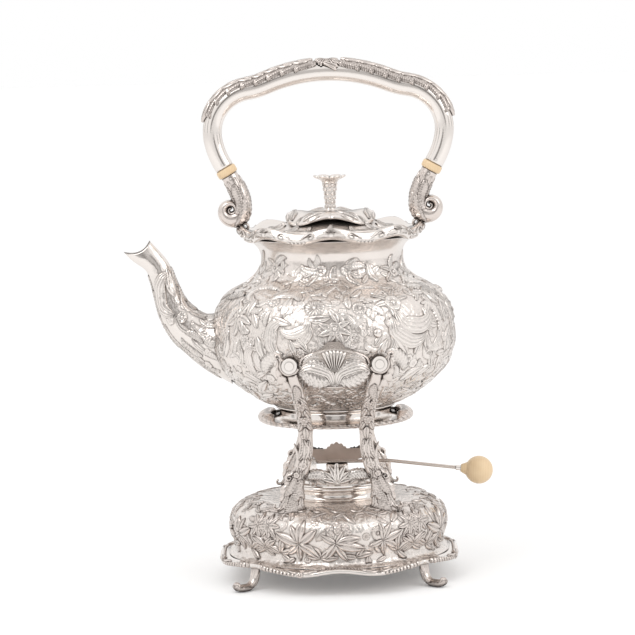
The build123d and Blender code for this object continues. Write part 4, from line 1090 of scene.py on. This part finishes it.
horn_line = Bend(
    (37.6, 163.6), (38.0, 158.8), (36.6, 152.6), (33.4, 147.2), (29.6, 143.2), (27.0, 139.6),
    (27.6, 137.6),
)
horn_path, horn_share = spaced(horn_line, 30)
horn_deep = np.interp(horn_share, [0, 0.15, 0.5, 0.75, 0.92, 1], [0.9, 1.7, 3.9, 3.0, 1.5, 1.7])
horn_y = np.interp(horn_path[:, 1], [137, 145, 152], [78.4, 82.8, 85.4])
horn = Swept(*with_sizes(horn_path, 2.1, horn_deep, y=horn_y))
wing_line = Bend(
    (30.5, 79), (33.8, 72), (35.6, 66), (37, 60.5), (39.6, 57), (42.6, 56), (44.2, 57.6),
    (43, 59.2),
)
wing_path, wing_share = spaced(wing_line, 34)
wing_deep = np.interp(wing_share, [0, 0.3, 0.7, 1], [0.8, 1.7, 1.3, 0.8])
wing = Swept(*with_sizes(wing_path, 2.6, wing_deep, y=52.2))
tip_path, tip_share = spaced(Bend((23.4, 84), (25.2, 90), (26.6, 95.5), (29.0, 101.5)), 20)
tip_deep = np.interp(tip_share, [0, 0.4, 1], [2.0, 2.4, 0.5])
tip_leaf = Swept(*with_sizes(tip_path, 2.4, tip_deep, y=53.6))
knot_curl = spiral((33.0, 77.6), 2.3, 0.7, 1.7, -1.2, KNOT_STEPS)
knot_path = np.vstack([(26.2, 88.4), (29.0, 83.4), (31.6, 80.2), knot_curl])
knot_deep = np.r_[0.9, 1.3, 1.3, np.linspace(1.2, 0.8, KNOT_STEPS)]
knot = Swept(*with_sizes(knot_path, 2.5, knot_deep, y=52.6))
skirt_line = Bend(
    (28.6, 84.0), (31.6, 77.0), (34.6, 71.6), (36.8, 66.0), (37.0, 60.0), (37.2, 55.4),
)
skirt_path, skirt_share = spaced(skirt_line, 24)
skirt_deep = np.interp(skirt_share, [0, 0.5, 1], [1.5, 3.6, 2.6])
skirt = Swept(*with_sizes(skirt_path, 2.6, skirt_deep, y=51.8))
leg_parts = [
    swept("leg_stem", leg, 20, 110), swept("leg_cup", cup_ring, 16, 80),
    swept("leg_horn", horn, 24, 80, lobes=6, flute=0.42),
    swept("leg_wing", wing, 16, 70, lobes=9, flute=0.2),
    swept("leg_skirt", skirt, 24, 70, lobes=5, flute=0.4),
    swept("leg_tip", tip_leaf, 16, 40, lobes=4, flute=0.2),
    swept("leg_knot", knot, 16, 50),
]
leg_work = Chasing("leg_leaves")
for s, kind, a, size, turn in (
    (7, "acanthus", 0, 13, 80), (8, "sprig_leaf", 0, 13, 100), (16, "leaf", 0.3, 9, 75),
    (18, "leaf", -0.4, 9, 110), (29, "leaf", 0.45, 10, 76), (29, "leaf", -0.45, 10, 104),
    (42, "leaf", 0.45, 9, 70), (42, "leaf", -0.45, 9, 110), (46, "leaf", 0, 11, 90),
    (56, "sprig_leaf", 0.3, 17, 84), (57, "sprig_leaf", -0.35, 15, 100), (70, "leaf", 0, 11, 88),
    (78, "scroll", 0.3, 9, 60), (78, "scroll", -0.3, 9, 120),
    (86, "acanthus", 0.5, 15, 76), (86, "acanthus", -0.5, 15, 106), (88, "acanthus", 0, 15, 90),
    (59, "leaf", 0, 13, 90), (98, "sprig_leaf", 0.75, 13, 78), (98, "sprig_leaf", -0.75, 13, 104),
    (99, "acanthus", 0.3, 14, 88), (100, "acanthus", -0.3, 13, 94), (103, "leaf", 0, 10, 90),
):
    heading = math.radians(turn)
    for face in (OUT, -OUT):
        leg_work.lay(kind, leg, face + a, s, size, heading, turn > 90, sink=-0.2, lift=1.1)
for s, a, size in (
    (23, 0.3, 2.7), (24, -0.4, 2.6), (27, 0.0, 2.7), (38, 0.35, 2.6), (38, -0.35, 2.6),
    (41, 0.0, 2.6), (54, 0.3, 2.2), (76, 0, 3.4), (84, 0.4, 2.4), (99, 0.0, 2.6), (106, 0.6, 2.4),
    (106, -0.6, 2.4),
):
    for face in (OUT, -OUT):
        leg_work.lay("posy", leg, face + a, s, size, s, sink=-0.6, lift=1.2)
leg_parts.append(leg_work.piece())
rear_right = joined("leg_rear_right_cast", leg_parts)
fit(rear_right, toned, "stand", "leg_rear_right")
for corner, flips in (("rear_left", "x"), ("front_right", "y"), ("front_left", "xy")):
    copy = mirrored(rear_right, f"leg_{corner}_cast", *flips)
    fit(copy, toned, "stand", f"leg_{corner}")

# ---------------------------------------------------------------- aprons
# A moulded plate fills the top of each pair of legs, with a shell over crossed sprays of leaves,
# and a palmette fills the bottom. They lean over the table, and their silver is painted darker than
# the rest, as the shade and dark reflections they catch there. The rear palmette is painted darker
# still, as the deep shade at the back of the stand.
APRON_RADIUS, APRON_FOOT, APRON_SLOPE = 88.3, 140, 1.02
apron_skin = Turned(Bend((84.9, APRON_FOOT), (87.2, 150), (88.1, 158), (88.5, 178)))
rim_line = Bend(
    (-24.4, 156), (-22.6, 162.4), (-15, 166.6), (-7, 168.6), (0, 169.4), (7, 168.6), (15, 166.6),
    (22.6, 162.4), (24.4, 156), (20, 149.5), (11, 145.4), (0, 144.2), (-11, 145.4), (-20, 149.5),
    (-24.4, 156), measure=2,
)
RIM_POINTS = 120
rim_thick = np.full(RIM_POINTS, 0.9)


def on_apron(side, x, z):
    """The angle and length on the apron's skin of a place x from its middle, at a height."""
    return side + x / APRON_RADIUS, (z - APRON_FOOT) * APRON_SLOPE


for side, name in ((FRONT, "front"), (BACK, "rear")):
    # Painted shade: the upper plates get the darker silver.
    refinish(f"upper_apron_{name}", shaded)
    apron_work = Chasing(f"apron_{name}_leaves")
    across, high = rim_line.at(np.linspace(0, rim_line.length, RIM_POINTS)).T
    rim_spots = apron_skin.place(*on_apron(side, across, high))
    rim = Swept(*np.column_stack([rim_spots, rim_thick, rim_thick]), side=(0, 0, 1))
    fit(swept(f"apron_{name}_rim", rim, 12, 240), toned, "stand")

    def lay(kind, x, z, size, degrees, flip=False, **how):
        a, s = on_apron(side, x, z)
        apron_work.lay(kind, apron_skin, a, s, size, math.radians(degrees), flip, **how)

    lay("scallop", 0, 151.5, 18.5, 0, sink=-1.2, lift=1.4)
    for way, flip in BOTH_WAYS:
        def turned_to(degrees):
            return degrees if way == 1 else 180 - degrees

        lay("plume", way * 1.0, 145.6, 25, turned_to(26), flip, lift=1.5)
        lay("acanthus", way * 2.0, 148.0, 24, turned_to(20), not flip, lift=1.4)
        lay("acanthus", way * 3.0, 150.5, 19, turned_to(38), flip, lift=1.4)
        lay("scroll", way * 17.5, 157.6, 12.0, turned_to(165), not flip, sink=-0.4, lift=1.5)
        lay("acanthus", way * 9.0, 164.0, 13, turned_to(-14), flip, lift=1.3)
        lay("leaf", way * 14.0, 156.0, 10, turned_to(10), flip, lift=1.3)
        lay("leaf", way * 0.6, 151, 8, turned_to(62), flip, lift=1.2)
    lay("aster", 0, 146.8, 2.6, 0, sink=-0.4)
    fit(apron_work.piece(), chased, "stand")


class Wall(Skin):
    """An upright flat face, at a distance in front of or behind the middle."""

    def __init__(self, y):
        self.y = y

    def place(self, a, s):
        way = -1 if self.y > 0 else 1
        return np.stack([way * a + 0 * s, self.y + 0 * a + 0 * s, s + 0 * a], -1)


# Painted shade: the front plate gets the darker silver, and the rear plate and its leaves get the
# darkest.
for y, name, plate_finish, leaf_finish, reach in (
    (-51.2, "front", shaded, chased, 1.0), (51.2, "rear", tarnish_and_deep_shade, tarnish_and_deep_shade, 0.86),
):
    refinish(f"lower_apron_{name}", plate_finish)
    palmette = Chasing(f"palmette_{name}")
    lay = partial(palmette.lay, skin=Wall(y))
    for tilt in range(-75, 76, 25):
        lay(
            "leaf", a=0.0, s=73.4, size=(13.5 - abs(tilt) / 30) * reach,
            turn=math.radians(90 - tilt), flip=tilt < 0, sink=-0.2, lift=2.0,
        )
    lay("shell", a=0.0, s=73.2, size=5.0, sink=-0.9, lift=1.2)
    lay("posy", a=0.0, s=74.6, size=2.6, sink=-1.4)
    for way, flip in BOTH_WAYS:
        for kind, x, z, size, lean, sink, lift in (
            ("acanthus", 6.5, 76.0, 17 * reach, 0.1, -0.1, 1.4),
            ("acanthus", 6.0, 74.0, 15 * reach, 0.45, -0.1, 1.4),
            ("scroll", 8.0, 72.5, 12, 0.1, 0.0, 1.3),
        ):
            turn = lean if way == 1 else math.pi - lean
            lay(kind, a=way * x, s=z, size=size, turn=turn, flip=flip, sink=sink, lift=lift)
        lay("posy", a=way * 17.0, s=80.5, size=2.7, sink=-0.3)
    fit(palmette.piece(), leaf_finish, "stand")

# ---------------------------------------------------------------- base of the stand
# The base is raised from a sheet of silver, with four shallow lobes. Sprigs and flowers stand
# out all round its side, and its top is matted and plain up to the burner's ring.
def four_lobes(a, radius, z):
    quarter = (a + math.pi / 4) % (math.pi / 2) - math.pi / 4
    share = np.clip((radius - 45) / 15, 0, 1)
    return radius - 2.4 * share * (quarter / (math.pi / 4)) ** 2, z


base_side = Bend(
    (73.6, 20.6), (72.8, 26), (75.1, 34), (76, 42), (74.9, 46.4), (71, 50.6), (64, 54.4),
    (56, 56.2), (49, 57),
)
base_line = Bend(
    (69.5, 18), (79, 18.0), (75.6, 19.2), (73.2, 21.6), (72.8, 26), (75.1, 34), (76, 42),
    (74.9, 46.4), (71, 50.6), (64, 54.4), (56, 56.2), (49, 57), (32.8, 57), (32.8, 55.5),
    (49, 55.5), (63.4, 52.6), (73.2, 46), (74.5, 41.6), (73.6, 34), (70.5, 24), (69.5, 18),
)
fit(turned("base_raised", base_line, 256, 120, four_lobes), matted, "stand", "stand_base")
base_skin = Turned(base_side, four_lobes)
base_work = Chasing("base_chasing")
BASE_RADIUS = 75
SIDES = (FRONT, FAR_SIDE, BACK, math.pi)
for side in SIDES:
    def lay(kind, x, z, size, degrees=0.0, flip=False, **how):
        a, s = side + x / BASE_RADIUS, height_on(base_side, z)
        base_work.lay(kind, base_skin, a, s, size, math.radians(degrees), flip, **how)

    def bunch(x, z, *leaves):
        for n, (heading, size) in enumerate(leaves):
            lay("leaf", x, z, size, heading, bool(n % 2), lift=1.3)

    for way in (1, -1):
        for x, z, size in ((54, 45, 5.2), (62, 38, 4.0), (58, 29, 3.4)):
            lay("flower", way * x, z, size, 7 * x, lift=1.2)
        for heading in (-170, -130, -90, -45, 0, 45, 90, 135):
            lay("leaf", way * 54, 45, 10.5, heading, heading > 0, lift=1.2, sink=0.1)
        leaves = ((-60, 12), (50, 12), (-110, 11), (120, 11))
        bunch(way * 60, 30, *((90 + way * heading, size) for heading, size in leaves))
    bunch(-28, 35, (160, 19), (118, 14), (78, 17), (38, 16), (-38, 18), (-90, 13), (-140, 14))
    for x, z in ((-6.5, 46), (-1, 47.5), (4.5, 46), (-5.5, 41.4), (1.5, 41), (6, 42), (-0.5, 44)):
        lay("posy", x, z, 3.3, 50 * x, lift=1.1)
    bunch(-2, 35.5, (10, 17), (-12, 20), (-125, 15), (-60, 15), (150, 12), (60, 10))
    for x, z, size in ((27, 41, 5.4), (36.5, 39, 4.8), (29, 31, 4.6)):
        lay("flower", x, z, size, 9 * x, lift=1.2)
    bunch(31, 36, (60, 13), (100, 12), (-30, 14), (-80, 12), (200, 11), (20, 16))
    lay("rosette", 44.5, 27, 3.6, lift=1.2)
    bunch(44, 27, (30, 13), (-40, 11), (100, 12), (150, 10))
    bunch(-44, 27, (70, 13), (20, 12), (150, 12), (-30, 10))
    bunch(-13, 25, (170, 11), (120, 10), (40, 10), (0, 12))
    bunch(12, 25, (170, 10), (60, 10), (10, 12))
    for x in (-68, -50, -36, -20, -4, 12, 30, 48):
        lay("sprig_leaf", x, 52.0, 11, 30 if x % 3 else 150, bool(x % 4), lift=1.1)
        lay("leaf", x + 7, 54.6, 9, 160, bool(x % 4), lift=1.1)
taken = [
    (base_skin.place(np.array(side + x / BASE_RADIUS), height_on(base_side, z)), reach)
    for side in SIDES
    for x, z, reach in (
        (-54, 45, 10), (54, 45, 10), (-60, 30, 8), (60, 30, 8), (-28, 37, 12), (-1, 44, 9),
        (-2, 33, 11), (27, 41, 7), (36, 39, 6), (29, 31, 8), (44, 27, 7), (-44, 27, 7),
        (12, 25, 5), (-13, 25, 5), (12, 36, 6),
    )
]
scatter(base_work, base_skin, base_side, taken, 1500, 23, 56.4, large=0.85, close=0.8)
base_work.fit(toned, "stand", 4)

# ---------------------------------------------------------------- flange
# A cast edge is soldered round the base's foot. It runs in long arches, each between a rose and
# a shell, with leaves, beads and short gadroons towards the corners.
SPAN = math.radians(18.5)


def flange_wave(a, radius, z):
    """Each side rises in an arch at its middle and again at its corners."""
    radius, z = four_lobes(a, radius, z)
    quarter = np.abs((a + math.pi / 4) % (math.pi / 2) - math.pi / 4)
    middle = np.cos(math.pi * quarter / SPAN)
    corner = -np.cos(math.pi * (quarter - SPAN) / (math.pi / 4 - SPAN))
    swing = np.where(quarter < SPAN, middle, corner)
    share = np.clip((radius - 74) / 8, 0, 1)
    near_corner = np.clip((quarter - SPAN * 1.75) / 0.06, 0, 1)
    cut = 0.9 * near_corner * np.abs(np.sin(36 * a + 0.4 * z)) ** 0.7
    return radius + (0.2 - 1.2 * swing + cut) * share, z + 1.3 * swing * share


flange_line = Bend(
    (63, 18), (76, 18.0), (79.5, 18.4), (81.2, 17.4), (82.4, 18.0), (84.2, 17.6), (85.0, 16.2),
    (84.2, 14.8), (81, 14.6), (63, 14.5), (63, 18),
)
fit(turned("base_edge", flange_line, 576, 36, flange_wave), polished, "stand", "base_flange")
flange_side = Bend((84.2, 14.8), (85.0, 16.2), (84.2, 17.6), (82.4, 18.0), (79, 18.4), (75, 18.4))
flange_work = Chasing("edge_chasing")
lay = partial(flange_work.lay, skin=Turned(flange_side, flange_wave))
for n in range(4):
    middle = TURN * n / 4
    lay("rose", a=middle - SPAN, s=2.2, size=2.6, sink=-0.2)
    lay("shell", a=middle + SPAN, s=2.0, size=2.6, sink=-0.2)
    for way in (1, -1):
        for far, size, lean in ((0.93, 10, way * 1.45), (1.06, 9, way * -1.45)):
            a, turn = middle + way * SPAN * far, math.pi / 2 + lean
            lay("leaf", a=a, s=3.4, size=size, turn=turn, flip=lean > 0, lift=1.4)
    for k in range(10):
        for way in (1, -1):
            a, size = middle + way * (SPAN + 0.06 + 0.035 * k), 1.2 + 0.09 * k
            lay("bead", a=a, s=1.9, size=size, sink=-0.1)
    for k in range(21):
        lay("bead", a=middle - 0.26 + 0.026 * k, s=6.0, size=0.8)
fit(flange_work.piece(), toned, "stand")

# ---------------------------------------------------------------- scroll feet
# Four cast scrolls are soldered under the flange's corners. They drop, run out along the table
# and curl up into a leafy toe.
foot = Swept(
    (76.2, 0, 15.5, 4.4, 2.2), (76.6, 0, 12.0, 4.0, 2.3), (77.6, 0, 7.4, 3.5, 2.4),
    (80.0, 0, 4.0, 3.3, 2.4), (84.0, 0, 2.5, 3.5, 2.4), (89.0, 0, 2.6, 3.9, 2.4),
    (92.4, 0, 4.2, 3.6, 2.2), (93.0, 0, 6.4, 2.6, 1.6),
)
foot_parts = [swept("foot_scroll", foot, 24, 90)]
foot_work = Chasing("foot_leaves")
for a in (-0.7, 0.7):
    for s, size in ((2, 12), (14, 13)):
        foot_work.lay("acanthus", foot, OUT + a, s, size, math.radians(90), a > 0, sink=0.2)
foot_parts.append(foot_work.piece())
one_foot = joined("foot_cast", foot_parts)
x, y, z = (points_of(one_foot) / MM).T
ABOVE_FLOOR = 0.02
for name, degrees in (
    ("rear_right", 40), ("rear_left", 140), ("front_left", 220), ("front_right", -40),
):
    copy = mirrored(one_foot, f"foot_{name}_cast")
    c, k = math.cos(math.radians(degrees)), math.sin(math.radians(degrees))
    shape(copy, np.column_stack([x * c - y * k, x * k + y * c, np.maximum(z, ABOVE_FLOOR)]))
    fit(copy, toned, "stand", f"foot_{name}")
bpy.data.objects.remove(one_foot)

# ---------------------------------------------------------------- lamp and snuffer
# The burner, its cover and ears and the ring that holds it are plain silver, and so is the
# snuffer's lever, though the lever's silver is painted darker, as the shade it lies in under the
# kettle. The wick is cotton, and the knob is a turned ivory ball in a ferrule.
cotton = Finish("wick_cotton", Roughness=0.9)
cotton.shader.inputs["Base Color"].default_value = (0.75, 0.70, 0.60, 1)
refinish("knob", ivory)
# Painted shade: the lever gets the darker silver.
refinish("snuffer_lever", shaded)
refinish("wick", cotton)

# ---------------------------------------------------------------- studio
# A pale floor and a white surround, with dark bands round it and a dark frame high in front,
# which the silver picks up. Two soft lamps stand in front, one at each side.
CAMERA_FAR = 1800.0
CAMERA_HIGH = 370.0
LOOK_AT = (-11.0, 0.0, 182.5)
ROLL = math.radians(-1.53)

bpy.ops.object.camera_add(location=(0, -CAMERA_FAR * MM, CAMERA_HIGH * MM))
camera = bpy.context.object
camera.data.lens = 145.8
camera.data.sensor_width = 36
camera.data.clip_end = 50
pan = math.atan2(-LOOK_AT[0], CAMERA_FAR)
pitch = math.atan2(CAMERA_HIGH - LOOK_AT[2], CAMERA_FAR)
camera.rotation_mode = "XYZ"
camera.rotation_euler = (math.pi / 2 - pitch, 0, pan)
bpy.context.view_layer.update()
camera.rotation_mode = "QUATERNION"
camera.rotation_quaternion = camera.rotation_euler.to_quaternion()
camera.rotation_quaternion = camera.rotation_quaternion @ Quaternion((0, 0, 1), ROLL)
bpy.context.scene.camera = camera

FLOOR_RADIUS, FLOOR_Z = 30.0, -0.0002
bpy.ops.mesh.primitive_circle_add(
    vertices=96, radius=FLOOR_RADIUS, fill_type="NGON", location=(0, 0, FLOOR_Z)
)
floor = bpy.context.object
floor.name = "floor"
ground = Finish("floor_white", Roughness=0.9)
ground.shader.inputs["Base Color"].default_value = (0.93, 0.93, 0.93, 1)
ground.shader.inputs["Specular IOR Level"].default_value = 0.1
sight = ground.node("LightPath")
ground.feed("Emission Color", ground.mix(sight, (0.0, 0.0, 0.0), (0.14, 0.14, 0.14)))
ground.shader.inputs["Emission Strength"].default_value = 1.0
floor.data.materials.append(ground.material)

world = bpy.data.worlds.new("studio")
bpy.context.scene.world = world
world.use_nodes = True
air = Finish("air", tree=world.node_tree)
toward = air.node("TexCoord")
flat = air.node("SeparateXYZ", None, {0: toward})
over = air.node("SeparateXYZ", None, {0: toward}, output=2)
depth = air.node("SeparateXYZ", None, {0: toward}, output=1)
azimuth = air.node("Math", {"operation": "ARCTAN2"}, {0: depth, 1: flat})
BANDS_ROUND = 9.0
bands = air.node("Math", {"operation": "SINE"}, {0: azimuth * BANDS_ROUND})
stripe = air.step(bands, 0.55, 0.95)
low = air.step(over, -0.05, 0.55, 1.0, 0.0)
gap = air.node("Math", {"operation": "ABSOLUTE"}, {0: azimuth + math.pi / 2})
opening = air.step(gap, 0.30, 0.36, 1.0, 0.0)
pane = air.step(gap, 0.13, 0.17, 0.5, 0.0)
upright = air.step(over, 0.5, 0.62, 1.0, 0.0)
frame_dark = opening * (1 - pane) * upright
dark = air.node("Math", {"operation": "MAXIMUM"}, {0: stripe * low * 0.8, 1: frame_dark})
glow = air.mix(dark * 0.85, (0.97, 0.965, 0.96), (0.10, 0.09, 0.085))
# The camera itself sees white. Only the silver sees the bands.
sight = air.node("LightPath")
seen = air.mix(sight, glow, (1.0, 1.0, 1.0))
background = world.node_tree.nodes["Background"]
world.node_tree.links.new(seen.socket, background.inputs["Color"])
background.inputs["Strength"].default_value = 1.0

for name, place, size, power in (
    ("key_lamp", (-0.9, -0.9, 1.5), 0.9, 6.0),
    ("fill_lamp", (1.1, -0.7, 1.0), 0.9, 3.0),
):
    bpy.ops.object.light_add(type="AREA", location=place)
    lamp = bpy.context.object
    lamp.name = name
    lamp.data.size = size
    lamp.data.energy = power
    aim = -lamp.location.normalized()
    lamp.rotation_mode = "QUATERNION"
    lamp.rotation_quaternion = aim.to_track_quat("-Z", "Y")

bpy.context.scene.view_settings.view_transform = "Standard"
